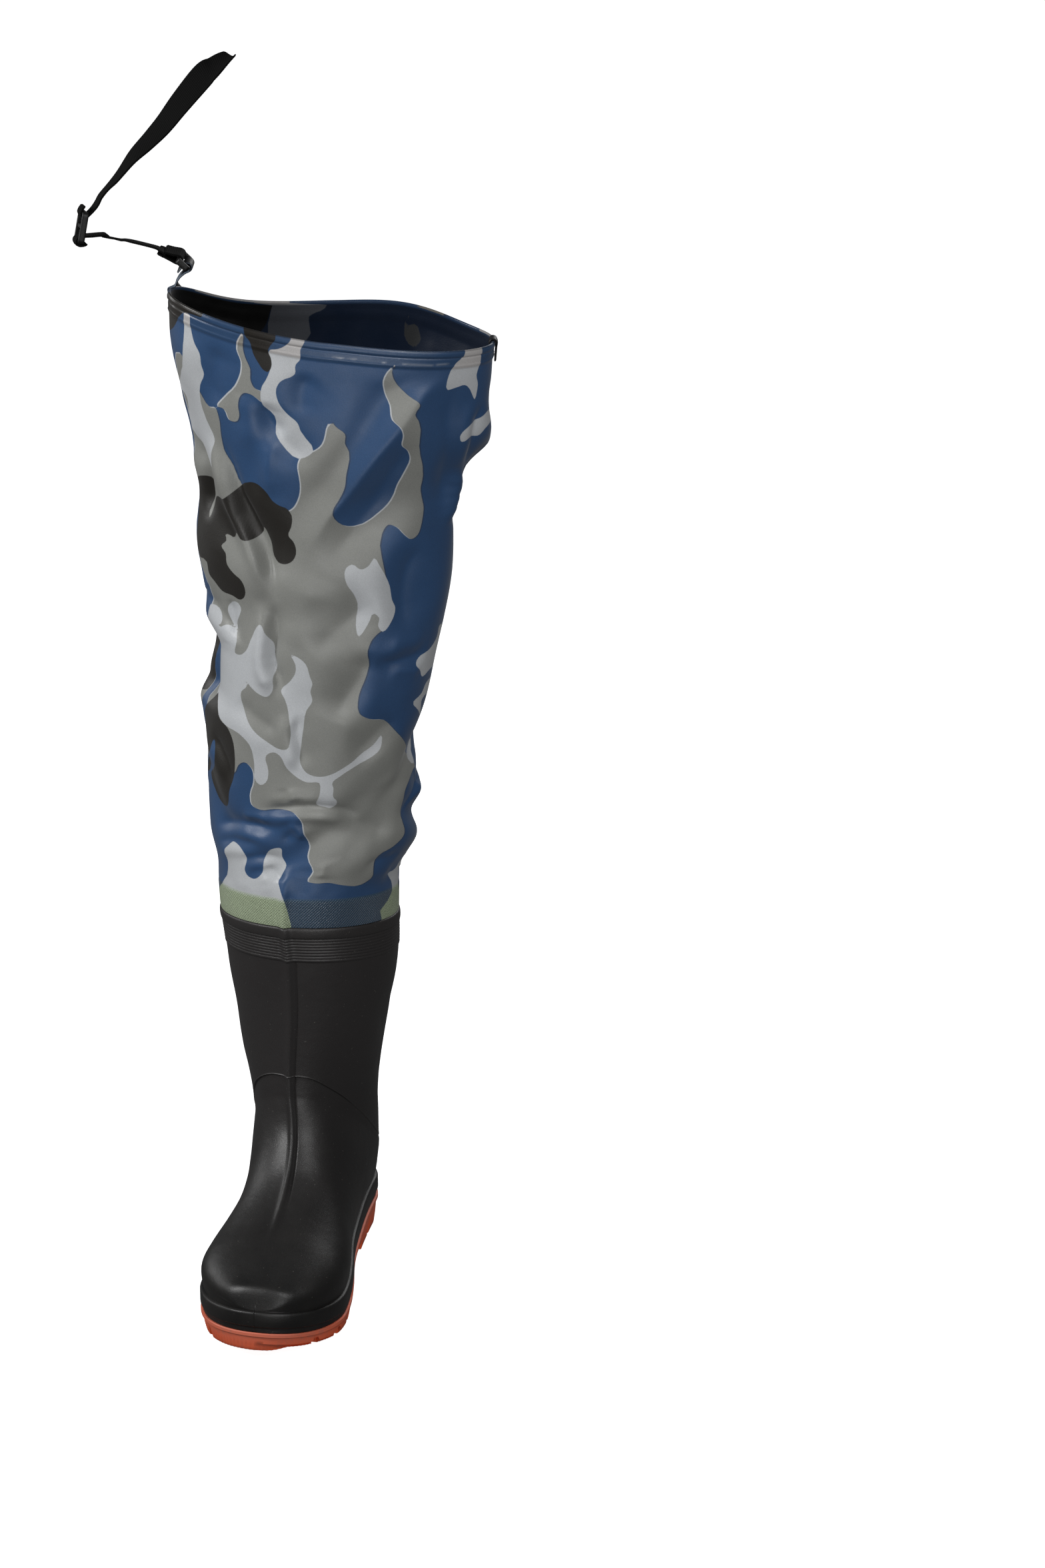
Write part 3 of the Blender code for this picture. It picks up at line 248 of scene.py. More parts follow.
class Recipe:
    """Builds one node material step by step around a Principled shader."""

    def __init__(self, name: str, rough: float, specular: float = 0.5) -> None:
        """Start a material of one roughness and specular level."""
        self.material = bpy.data.materials.new(name)
        self.material.use_nodes = True
        self.tree = self.material.node_tree
        self.shader = self.tree.nodes["Principled BSDF"]
        self.shader.inputs["Roughness"].default_value = rough
        self.shader.inputs["Specular IOR Level"].default_value = specular
        self.object = self.add("ShaderNodeTexCoord").outputs["Object"]
        self.normal: Socket | None = None

    def add(self, kind: str, **fields: object) -> bpy.types.Node:
        """Add a node and set its fields."""
        node = self.tree.nodes.new(kind)
        for name, value in fields.items():
            setattr(node, name, value)
        return node

    def feed(self, socket: Socket, value: object) -> None:
        """Link a socket to another, or set its constant."""
        if isinstance(value, Socket):
            self.tree.links.new(value, socket)
        else:
            socket.default_value = value

    def math(self, what: str, *terms: object, clamp: bool = False) -> Socket:
        """Combine up to three terms by one Math node."""
        node = self.add("ShaderNodeMath", operation=what, use_clamp=clamp)
        for socket, term in zip(node.inputs, terms):
            self.feed(socket, term)
        return node.outputs[0]

    def mix(self, part: object, first: object, second: object, how: str = "MIX") -> Socket:
        """Mix two colours.

        Args:
            part: share of the second colour.
            first: colour or socket.
            second: colour or socket.
            how: blend type of the Mix node.

        Returns:
            The mixed colour.
        """
        node = self.add("ShaderNodeMix", data_type="RGBA", blend_type=how)
        self.feed(node.inputs[0], part)
        self.feed(node.inputs[6], first)
        self.feed(node.inputs[7], second)
        return node.outputs[2]

    def noise(self, scale: float, detail: float = 2.0, rough: float = 0.5,
              where: Socket | None = None) -> Socket:
        """Cloudy value about a half, of `scale` lumps a metre."""
        node = self.add("ShaderNodeTexNoise")
        self.feed(node.inputs["Vector"], where or self.object)
        self.feed(node.inputs["Scale"], scale)
        self.feed(node.inputs["Detail"], detail)
        self.feed(node.inputs["Roughness"], rough)
        return node.outputs["Fac"]

    def spread(self, value: object, low: float, high: float, to_low: float = 0.0,
               to_high: float = 1.0) -> Socket:
        """Stretch a span of a value to another span, held at its ends."""
        node = self.add("ShaderNodeMapRange", clamp=True)
        for socket, item in zip(node.inputs, (value, low, high, to_low, to_high)):
            self.feed(socket, item)
        return node.outputs[0]

    def stored(self, name: str) -> Socket:
        """Read a value stored on the mesh."""
        return self.add("ShaderNodeAttribute", attribute_name=name).outputs["Fac"]

    def map(self) -> tuple:
        """Give the two coordinates of the piece's own map, in metres."""
        split = self.add("ShaderNodeSeparateXYZ")
        self.feed(split.inputs[0], self.add("ShaderNodeUVMap", uv_map="flat").outputs[0])
        return split.outputs[0], split.outputs[1]

    def bump(self, height: object, depth: float) -> None:
        """Add relief `depth` metres deep on top of what is there."""
        node = self.add("ShaderNodeBump")
        node.inputs["Strength"].default_value = 1.0
        node.inputs["Distance"].default_value = depth
        self.feed(node.inputs["Height"], height)
        if self.normal is not None:
            self.feed(node.inputs["Normal"], self.normal)
        self.normal = node.outputs[0]

    def finish(self, colour: object, rough: object = None) -> Material:
        """Link what was made to the shader and give the material."""
        self.feed(self.shader.inputs["Base Color"], colour)
        if rough is not None:
            self.feed(self.shader.inputs["Roughness"], rough)
        if self.normal is not None:
            self.feed(self.shader.inputs["Normal"], self.normal)
        return self.material


@dataclass(frozen=True)
class PrintedCloth:
    """Coated cloth printed with two inks, bare patches and a black ink on top; glue drops are glossy and
    carry a painted highlight, and the inside carries painted shade.
    """
    cloth: tuple = tone(178, 181, 184)
    grey: tuple = tone(130, 131, 127)
    navy: tuple = tone(43, 72, 109)
    dark: tuple = tone(42, 56, 78)
    black: tuple = tone(33, 31, 28)
    teal: tuple = tone(24, 56, 80)
    band_tint: tuple = (0.72, 0.85, 0.50, 1.0)
    hem_tint: tuple = (0.90, 0.84, 0.80, 1.0)
    # Dark multiplier of the painted shade inside the leg tube.
    lining: tuple = (0.12, 0.125, 0.14, 1.0)
    soft: float = 0.00045
    knurl: float = 0.0024

    def make(self, name: str) -> Material:
        """Make the material: inks by signed distance to their printed edges, painted shade inside the tube
        and a painted highlight on the glue.
        """
        mix = Recipe(name, 0.46, 0.42)
        shader = mix.shader
        shader.inputs["Sheen Weight"].default_value = 0.10
        shader.inputs["Sheen Roughness"].default_value = 0.45

        def inside(key: str) -> Socket:
            """Give 1 inside an ink's edge and 0 outside it."""
            return mix.math("MULTIPLY_ADD", mix.stored(key), -1.0 / self.soft, 0.5, clamp=True)

        grey, light, black = inside("grey"), inside("light"), inside("black")
        navy = mix.math("MULTIPLY_ADD", mix.stored("navy"), 1.0 / self.soft, 0.5, clamp=True)
        bare = mix.math("SUBTRACT", 1.0, light)
        grey = mix.math("MULTIPLY", grey, bare)
        navy = mix.math("MULTIPLY", navy, bare)
        both = mix.math("MULTIPLY", mix.math("MULTIPLY", grey, navy), 0.85)
        colour = mix.mix(grey, self.cloth, self.grey)
        colour = mix.mix(navy, colour, self.navy)
        colour = mix.mix(both, colour, self.dark)
        colour = mix.mix(black, colour, self.black)
        band = mix.stored("band")
        hem = mix.stored("hem")
        colour = mix.mix(band, colour, mix.mix(1.0, colour, self.band_tint, "MULTIPLY"))
        colour = mix.mix(mix.math("MULTIPLY", band, navy), colour, self.teal)
        colour = mix.mix(hem, colour, mix.mix(1.0, colour, self.hem_tint, "MULTIPLY"))
        # Painted shade: the inner face is multiplied by the dark tint in full and the rolled edge by half,
        # for the shade inside the tube.
        colour = mix.mix(mix.stored("lining"), colour, mix.mix(1.0, colour, self.lining, "MULTIPLY"))
        grain = mix.spread(mix.noise(1500.0, 2.0, 0.6), 0.3, 0.7, 0.90, 1.08)
        cloud = mix.spread(mix.noise(22.0, 3.0, 0.5), 0.3, 0.7, 0.95, 1.05)
        shade = mix.add("ShaderNodeCombineColor")
        level = mix.math("MULTIPLY", grain, cloud)
        for socket in shade.inputs:
            mix.feed(socket, level)
        colour = mix.mix(1.0, colour, shade.outputs[0], "MULTIPLY")
        across, along = mix.map()
        waves = []
        for sign in (1.0, -1.0):
            lean = mix.math("MULTIPLY_ADD", along, sign, across)
            wave = mix.math("SINE", mix.math("MULTIPLY", lean, math.pi / self.knurl))
            waves.append(mix.math("POWER", mix.math("ABSOLUTE", wave), 6.0))
        lines = mix.math("MULTIPLY", mix.math("MAXIMUM", waves[0], waves[1]), band)
        colour = mix.mix(mix.math("MULTIPLY", lines, 0.16), colour, self.cloth)
        mix.bump(lines, 0.00045)
        mix.bump(mix.noise(900.0, 2.0, 0.6), 0.00010)
        mix.bump(mix.noise(34.0, 1.0, 0.4), 0.0006)
        rough = mix.spread(mix.noise(45.0, 3.0, 0.6), 0.3, 0.7, 0.40, 0.50)
        rough = mix.math("SUBTRACT", rough, mix.math("MULTIPLY", hem, 0.10))
        glue = mix.stored("glue")
        # Painted highlight: on the glue drops the colour is lifted a quarter toward the pale cloth for
        # their white glints; the lower roughness below is their real gloss.
        colour = mix.mix(mix.math("MULTIPLY", glue, 0.25), colour, self.cloth)
        rough = mix.math("SUBTRACT", rough, mix.math("MULTIPLY", glue, 0.22))
        return mix.finish(colour, rough)


@dataclass(frozen=True)
class BootRubber:
    """Moulded black vinyl: satin, finely grained, with a little dust."""
    black: tuple = tone(18, 18, 18)
    worn: tuple = tone(30, 29, 28)
    # Painted highlight: paler tone of the upper boot, standing in for the broad soft sheen on the shaft.
    shaft: tuple = tone(45, 43, 43)
    dust: tuple = tone(120, 118, 112)
    parting: float = 0.0075

    def make(self, name: str) -> Material:
        """Make the material: cloudy black, paler up the shaft as a painted highlight, grain, specks and the
        toe's parting line.
        """
        mix = Recipe(name, 0.4, 0.42)
        cloud = mix.spread(mix.noise(18.0, 4.0, 0.6), 0.35, 0.68)
        colour = mix.mix(cloud, self.black, self.worn)
        split = mix.add("ShaderNodeSeparateXYZ")
        mix.feed(split.inputs[0], mix.object)
        x, y, z = split.outputs
        # Painted highlight: the colour pales toward the shaft tone from 6 to 20 cm up, for the lit sheen of
        # the shaft.
        colour = mix.mix(mix.spread(z, 0.06, 0.20), colour, self.shaft)
        specks = mix.spread(mix.noise(620.0, 1.0, 0.5), 0.76, 0.80)
        colour = mix.mix(mix.math("MULTIPLY", specks, 0.5), colour, self.dust)
        mix.bump(mix.noise(1400.0, 3.0, 0.6), 0.00012)
        mix.bump(mix.noise(120.0, 3.0, 0.5), 0.00026)
        aside = mix.math("ABSOLUTE", mix.math("SUBTRACT", x, self.parting))
        line = mix.spread(aside, 0.0, 0.0007, 1.0, 0.0)
        ahead = mix.math("MULTIPLY", mix.spread(y, -0.215, -0.225), mix.spread(z, 0.054, 0.050))
        mix.bump(mix.math("MULTIPLY", line, ahead), 0.0005)
        rough = mix.spread(mix.noise(35.0, 4.0, 0.6), 0.3, 0.7, 0.37, 0.47)
        return mix.finish(colour, rough)


@dataclass(frozen=True)
class SoleRubber:
    """Red-brown sole rubber: brighter low down, browner above, dusty."""
    low: tuple = tone(236, 90, 40)
    high: tuple = tone(205, 110, 86)
    dirt: tuple = tone(156, 104, 92)

    def make(self, name: str) -> Material:
        """Make the material: height mixes the two tones, noise adds dirt."""
        mix = Recipe(name, 0.48, 0.45)
        split = mix.add("ShaderNodeSeparateXYZ")
        mix.feed(split.inputs[0], mix.object)
        rise = mix.math("ADD", split.outputs[2], mix.math("MULTIPLY", mix.noise(60.0), 0.006))
        colour = mix.mix(mix.spread(rise, 0.008, 0.030), self.low, self.high)
        colour = mix.mix(mix.spread(mix.noise(140.0, 4.0, 0.7), 0.52, 0.72, 0.0, 0.55), colour, self.dirt)
        mix.bump(mix.noise(1100.0, 3.0, 0.6), 0.00015)
        rough = mix.spread(mix.noise(60.0, 3.0, 0.6), 0.3, 0.7, 0.40, 0.60)
        return mix.finish(colour, rough)


@dataclass(frozen=True)
class WovenTape:
    """Black webbing: cross ribs and a lengthwise twill."""
    black: tuple = tone(2, 2, 2)
    thread: tuple = tone(9, 9, 9)
    rib: float = 0.0015
    wale: float = 0.0021

    def make(self, name: str) -> Material:
        """Make the material: two waves on the strap's own map."""
        mix = Recipe(name, 0.8, 0.08)
        along, across = mix.map()
        rib = mix.math("SINE", mix.math("MULTIPLY", along, 2 * math.pi / self.rib))
        wale = mix.math("SINE", mix.math("MULTIPLY", across, 2 * math.pi / self.wale))
        weave = mix.math("ADD", mix.math("MULTIPLY", rib, 0.7), mix.math("MULTIPLY", wale, 0.5))
        colour = mix.mix(mix.spread(weave, -0.6, 1.2), self.black, self.thread)
        mix.bump(weave, 0.00010)
        mix.bump(mix.noise(1600.0, 2.0, 0.6), 0.00004)
        return mix.finish(colour)


@dataclass(frozen=True)
class Moulded:
    """Plain moulded plastic of one tone, finely grained and a little scuffed."""
    colour: tuple
    scuff: tuple
    rough: float

    def make(self, name: str) -> Material:
        """Make the material: a cloudy tone, scuffs and a fine grain."""
        mix = Recipe(name, self.rough, 0.3)
        scuffs = mix.spread(mix.noise(260.0, 4.0, 0.7), 0.55, 0.72, 0.0, 0.6)
        mix.bump(mix.noise(1300.0, 2.0, 0.6), 0.00008)
        return mix.finish(mix.mix(scuffs, self.colour, self.scuff))


@dataclass(frozen=True)
class TabStrip:
    """Welded strip: blue-grey cloth outside, black coating inside."""
    outside: tuple = tone(86, 98, 112)
    inside: tuple = tone(20, 20, 22)

    def make(self, name: str) -> Material:
        """Make the material: the side is read from the mesh."""
        mix = Recipe(name, 0.5, 0.4)
        cloud = mix.spread(mix.noise(300.0, 3.0, 0.6), 0.3, 0.7, 0.0, 0.35)
        outer = mix.mix(cloud, self.outside, self.inside)
        mix.bump(mix.noise(900.0, 2.0, 0.6), 0.00012)
        return mix.finish(mix.mix(mix.stored("side"), self.inside, outer))


@dataclass(frozen=True)
class Footbed:
    """Grey knitted footbed."""
    base: tuple = tone(62, 62, 66)
    yarn: tuple = tone(92, 92, 96)

    def make(self, name: str) -> Material:
        """Make the material: two crossed waves of the knit."""
        mix = Recipe(name, 0.95, 0.2)
        split = mix.add("ShaderNodeSeparateXYZ")
        mix.feed(split.inputs[0], mix.object)
        waves = [mix.math("SINE", mix.math("MULTIPLY", split.outputs[i], 2600.0)) for i in (0, 1)]
        knit = mix.math("MULTIPLY", waves[0], waves[1])
        mix.bump(knit, 0.0002)
        return mix.finish(mix.mix(mix.spread(knit, -0.5, 1.0), self.base, self.yarn))


@dataclass(frozen=True)
class StudioFloor:
    """Plain white studio floor that is bright by itself."""
    white: tuple = tone(236, 236, 236)
    glow: float = 0.94

    def make(self, name: str) -> Material:
        """Make the material: white with an even glow."""
        mix = Recipe(name, 0.8, 0.2)
        mix.shader.inputs["Emission Color"].default_value = (1.0, 1.0, 1.0, 1.0)
        mix.shader.inputs["Emission Strength"].default_value = self.glow
        return mix.finish(mix.mix(mix.noise(3.0), self.white, tone(232, 232, 233)))


# The foot's shape

class Plan(NamedTuple):
    """One station of the last's outline: shares of its length, of a named width and of the ball."""
    along: float
    size: float
    half: float
    centre: float


class Section(NamedTuple):
    """One cross-section of the boot, in a plane from its sole or back line to its front line.

    Stations are shares of the last's length from the heel. Levels run from 0 at the foxing's top to 1 at
    the instep or counter, 2 under the ribs, 3 at the rim and 4 at the top of the weld neck. The half width
    is a share of `size`; `peak` is where along the section it is widest, and `crown` how square it is.
    """
    back: float
    back_level: float
    front: float
    front_level: float
    size: float
    half: float
    centre: float
    peak: float
    crown: float


BALL_WIDTH = 0.118
HEEL_WIDTH = 0.078
ANKLE_WIDTH = 0.105
SHAFT_WIDTH = 0.147

PLAN = (
    Plan(0.00, HEEL_WIDTH, 0.500, -0.022),
    Plan(0.12, HEEL_WIDTH, 0.500, -0.022),
    Plan(0.25, HEEL_WIDTH, 0.490, 0.000),
    Plan(0.36, BALL_WIDTH, 0.335, 0.015),
    Plan(0.48, BALL_WIDTH, 0.365, 0.025),
    Plan(0.60, BALL_WIDTH, 0.440, 0.025),
    Plan(0.70, BALL_WIDTH, 0.490, 0.025),
    Plan(0.78, BALL_WIDTH, 0.500, 0.032),
    Plan(0.88, BALL_WIDTH, 0.478, 0.045),
    Plan(1.00, BALL_WIDTH, 0.440, 0.060),
)

SECTIONS = (
    Section(1.000, 0.00, 1.000, 0.00, BALL_WIDTH, 0.440, 0.060, 0.30, 2.4),
    Section(0.975, 0.00, 0.977, 0.16, BALL_WIDTH, 0.445, 0.060, 0.30, 2.4),
    Section(0.940, 0.00, 0.944, 0.22, BALL_WIDTH, 0.460, 0.053, 0.30, 2.3),
    Section(0.880, 0.00, 0.890, 0.30, BALL_WIDTH, 0.487, 0.045, 0.30, 2.2),
    Section(0.800, 0.00, 0.815, 0.385, BALL_WIDTH, 0.507, 0.035, 0.29, 2.1),
    Section(0.715, 0.00, 0.735, 0.46, BALL_WIDTH, 0.500, 0.032, 0.28, 2.0),
    Section(0.630, 0.00, 0.660, 0.55, BALL_WIDTH, 0.462, 0.030, 0.28, 2.0),
    Section(0.540, 0.00, 0.595, 0.66, BALL_WIDTH, 0.418, 0.022, 0.29, 2.0),
    Section(0.440, 0.00, 0.545, 0.80, BALL_WIDTH, 0.398, 0.010, 0.31, 2.0),
    Section(0.330, 0.00, 0.515, 0.91, BALL_WIDTH, 0.400, -0.008, 0.34, 2.0),
    Section(0.210, 0.00, 0.500, 1.00, ANKLE_WIDTH, 0.462, -0.022, 0.37, 2.0),
    Section(0.100, 0.00, 0.492, 1.06, ANKLE_WIDTH, 0.470, -0.034, 0.39, 2.0),
    Section(0.030, 0.00, 0.488, 1.10, ANKLE_WIDTH, 0.475, -0.040, 0.40, 2.0),
    Section(0.000, 0.00, 0.487, 1.13, ANKLE_WIDTH, 0.478, -0.042, 0.41, 2.0),
    Section(-0.008, 0.20, 0.486, 1.17, ANKLE_WIDTH, 0.485, -0.043, 0.42, 2.0),
    Section(-0.008, 0.45, 0.485, 1.23, ANKLE_WIDTH, 0.498, -0.043, 0.43, 2.0),
    Section(0.012, 0.75, 0.486, 1.32, ANKLE_WIDTH, 0.520, -0.040, 0.45, 2.0),
    Section(0.034, 1.00, 0.489, 1.42, ANKLE_WIDTH, 0.550, -0.032, 0.48, 2.0),
    Section(0.045, 1.25, 0.494, 1.54, ANKLE_WIDTH, 0.590, -0.022, 0.50, 2.0),
    Section(0.045, 1.50, 0.502, 1.68, SHAFT_WIDTH, 0.448, -0.012, 0.50, 2.0),
    Section(0.038, 1.75, 0.512, 1.84, SHAFT_WIDTH, 0.472, -0.008, 0.50, 2.0),
    Section(0.032, 2.00, 0.522, 2.00, SHAFT_WIDTH, 0.488, -0.006, 0.50, 2.0),
    Section(0.026, 3.00, 0.532, 3.00, SHAFT_WIDTH, 0.500, -0.018, 0.50, 2.0),
    Section(0.024, 4.00, 0.536, 4.00, SHAFT_WIDTH, 0.506, -0.020, 0.50, 2.0),
)
CORNER_ROW = 13
RIBS_ROW = 21
RIM_ROW = 22


class StepPoint(NamedTuple):
    """Where the step over the ankle runs: turn is 0 at the back line and 1 at the front ridge."""
    turn: float
    row: float


ANKLE_LINE = (
    StepPoint(0.00, 14.8),
    StepPoint(0.30, 13.8),
    StepPoint(0.50, 13.35),
    StepPoint(0.64, 13.8),
    StepPoint(0.78, 14.80),
    StepPoint(0.90, 15.18),
    StepPoint(1.00, 15.05),
)


class Ring(NamedTuple):
    """One ring of the leg above the weld band: rise is its share of the way up to the collar.

    The centre and half sizes are shares of the collar's width and depth; turn is a share of COLLAR_TURN.
    """
    rise: float
    across: float
    deep: float
    half_wide: float
    half_deep: float
    turn: float
    square: float


RINGS = (
    Ring(0.00, 0.000, -0.300, 0.288, 0.575, 0.0, 2.0),
    Ring(0.07, 0.003, -0.300, 0.320, 0.600, 0.1, 2.0),
    Ring(0.14, 0.006, -0.300, 0.330, 0.590, 0.2, 2.0),
    Ring(0.24, 0.004, -0.300, 0.338, 0.580, 0.4, 2.0),
    Ring(0.36, 0.030, -0.300, 0.352, 0.570, 0.6, 2.0),
    Ring(0.48, 0.055, -0.300, 0.372, 0.560, 0.8, 2.0),
    Ring(0.58, 0.065, -0.300, 0.392, 0.550, 0.9, 2.0),
    Ring(0.70, 0.070, -0.300, 0.400, 0.530, 1.0, 2.0),
    Ring(0.78, 0.085, -0.300, 0.412, 0.520, 1.0, 2.1),
    Ring(0.85, 0.105, -0.300, 0.460, 0.510, 1.0, 2.2),
    Ring(0.92, 0.097, -0.310, 0.483, 0.490, 1.0, 2.3),
    Ring(1.00, 0.104, -0.335, 0.491, 0.455, 1.0, 2.3),
)


class Fold(NamedTuple):
    """A soft trough in the leg: its middle, slope and reach in turns and rise, depth by COLLAR_DEPTH."""
    turn: float
    rise: float
    lean: float
    long: float
    wide: float
    depth: float


FOLDS = (
    Fold(0.36, 0.66, -0.30, 0.16, 0.050, 0.057),
    Fold(0.42, 0.52, 0.25, 0.14, 0.045, 0.049),
    Fold(0.62, 0.74, 0.20, 0.16, 0.050, 0.049),
    Fold(0.30, 0.20, -0.90, 0.10, 0.040, 0.041),
    Fold(0.55, 0.14, 1.00, 0.14, 0.035, 0.037),
    Fold(0.70, 0.24, 1.10, 0.12, 0.040, 0.041),
    Fold(0.05, 0.50, 0.10, 0.20, 0.060, 0.057),
    Fold(0.90, 0.30, 0.40, 0.16, 0.050, 0.049),
)


@dataclass(frozen=True)
class Last:
    """The foot form that the boot, insole and sole are moulded on."""
    length: float = 0.298
    ball: float = BALL_WIDTH
    heel_width: float = HEEL_WIDTH
    heel_back: float = 0.046
    toe_square: float = 2.25
    instep: float = 0.152
    counter: float = 0.140
    rim: float = 0.314
    rim_tilt: float = 0.022
    rib_band: float = 0.021
    bead: float = 0.010
    weld: float = 0.025
    foxing: float = 0.019
    clearance: float = 0.0003
    sole: float = 0.018
    heel_seat: float = 0.026
    toe_spring: float = 0.012
    toe_break: float = 0.72

    @property
    def heel_reach(self) -> float:
        """Share of the length that the heel's half circle takes."""
        return 0.5 * self.heel_width / self.length

    @property
    def toe_reach(self) -> float:
        """Share of the length that the toe's round takes."""
        return 0.62 * self.ball / self.length

    def heel_cap(self, along: Array) -> Array:
        """Round the outline off at the heel as a half circle."""
        return np.sqrt(np.clip(1 - np.clip(1 - along / self.heel_reach, 0, 1) ** 2, 0, 1))

    def toe_cap(self, along: Array) -> Array:
        """Round the outline off at the toe, a little squarer than a circle."""
        part = np.clip((along - 1 + self.toe_reach) / self.toe_reach, 0, 1)
        return (1 - part ** self.toe_square) ** (1 / self.toe_square)

    def plan_y(self, along: Array, grow: float = 0.0) -> Array:
        """Place a station on the outline, grown outwards by `grow`."""
        return self.heel_back + grow - along * (self.length + 2 * grow)

    def plan_x(self, along: Array, side: float, grow: float = 0.0) -> Array:
        """Place the outline's edge at a station: side is -1 lateral, +1 medial."""
        knots = column(PLAN, "along")
        half = smooth(knots, column(PLAN, "size") * column(PLAN, "half"), along)
        centre = smooth(knots, self.ball * column(PLAN, "centre"), along)
        return centre + side * (half + grow) * self.heel_cap(along) * self.toe_cap(along)

    def spring(self, along: Array) -> Array:
        """Lift of the sole's underside off the floor: a parabola past the toe break."""
        return self.toe_spring * np.clip((along - self.toe_break) / (1 - self.toe_break), 0, 1) ** 2

    def seat(self, along: Array) -> Array:
        """Height of the sole's top."""
        heel = ease((0.62 - along) / 0.45)
        return self.sole + heel * (self.heel_seat - self.sole) + self.spring(along)

    def outline(self, along: Array, grow: Array | float, lift: Array) -> Array:
        """Loop round the foot from the toe by the lateral side and the heel to the toe again.

        Args:
            along: stations, from one end to the other.
            grow: how far out the loop lies.
            lift: height at each station.

        Returns:
            Points of both sides, one after the other.
        """
        sides = [np.stack([self.plan_x(along, side, grow), self.plan_y(along, grow), lift], axis=-1)
                 for side in (-1.0, 1.0)]
        return np.concatenate([sides[0], sides[1][-2::-1]])

    def levels(self, along: Array, bend: float, tilt: float, level: Array) -> Array:
        """Turn a level of the section table into a height."""
        base = self.seat(along) + self.clearance + self.foxing
        rim = self.rim + tilt
        heights = [bend, rim - self.bead - self.rib_band, rim, rim + self.weld]
        upper = np.interp(level, [1, 2, 3, 4], heights)
        return np.where(level < 1, base + level * (bend - base), upper)

    def surface(self, rows: Array, turns: Array) -> Array:
        """Outer face of the boot above its foxing, before ridges and steps.

        A section runs from its back point to its front point. Its half width is a quarter ellipse up to
        the peak, starting from the outline's own half width, and a superellipse from there to the front.

        Args:
            rows: section rows of the points, whole or between two rows of SECTIONS.
            turns: -1 at the lateral edge or back line, 0 at the front ridge, +1 on the medial side.

        Returns:
            Points, with the shape of rows and turns and a last axis of x, y, z.
        """
        knots = np.arange(len(SECTIONS), dtype=float)
        back, front, centre, peak, crown, low_level, high_level = (
            smooth(knots, column(SECTIONS, name), rows)
            for name in ("back", "front", "centre", "peak", "crown", "back_level", "front_level"))
        half = smooth(knots, column(SECTIONS, "size") * column(SECTIONS, "half"), rows) * self.toe_cap(back)
        centre = self.ball * centre
        high = rows > RIBS_ROW - 2
        low_level = np.where(high, np.interp(rows, knots, column(SECTIONS, "back_level")), low_level)
        high_level = np.where(high, np.interp(rows, knots, column(SECTIONS, "front_level")), high_level)
        back_z = self.levels(np.maximum(back, 0), self.counter, -0.5 * self.rim_tilt, low_level)
        front_z = self.levels(front, self.instep, 0.5 * self.rim_tilt, high_level)
        open_foot = (rows < CORNER_ROW - 1e-6) & (rows > 1e-6)
        side = np.where(turns < 0, -1.0, 1.0)
        edge = np.where(side < 0, self.plan_x(back, -1.0), self.plan_x(back, 1.0))
        foot = np.where(open_foot, side * (edge - centre), 0.0)
        angle = (1 - np.abs(turns)) * math.pi
        low = np.clip(angle, 0, math.pi / 2)
        high = np.clip(angle - math.pi / 2, 0, math.pi / 2)
        wide_low = np.sqrt(foot ** 2 + np.maximum(half ** 2 - foot ** 2, 0) * np.sin(low) ** 2)
        wide_high = half * np.cos(high) ** (2 / crown)
        up_low = peak * (1 - np.cos(low))
        up_high = peak + (1 - peak) * np.sin(high) ** (2 / crown)
        wide = np.where(angle < math.pi / 2, wide_low, wide_high)
        up = np.where(angle < math.pi / 2, up_low, up_high)
        y = self.plan_y(back) + up * (self.plan_y(front) - self.plan_y(back))
        z = back_z + up * (front_z - back_z)
        return np.stack([centre + side * wide, y, z], axis=-1)

    def stations(self, toe: int, middle: int, heel: int) -> Array:
        """Stations from the toe to the heel, evenly turned round both ends and even between them."""
        first = 1 - self.toe_reach * (1 - np.cos(np.linspace(0, math.pi / 2, toe)))
        last = (self.heel_reach * (1 - np.cos(np.linspace(0, math.pi / 2, heel))))[::-1]
        between = np.linspace(1 - self.toe_reach, self.heel_reach, middle + 2)[1:-1]
        return np.concatenate([first, between, last])


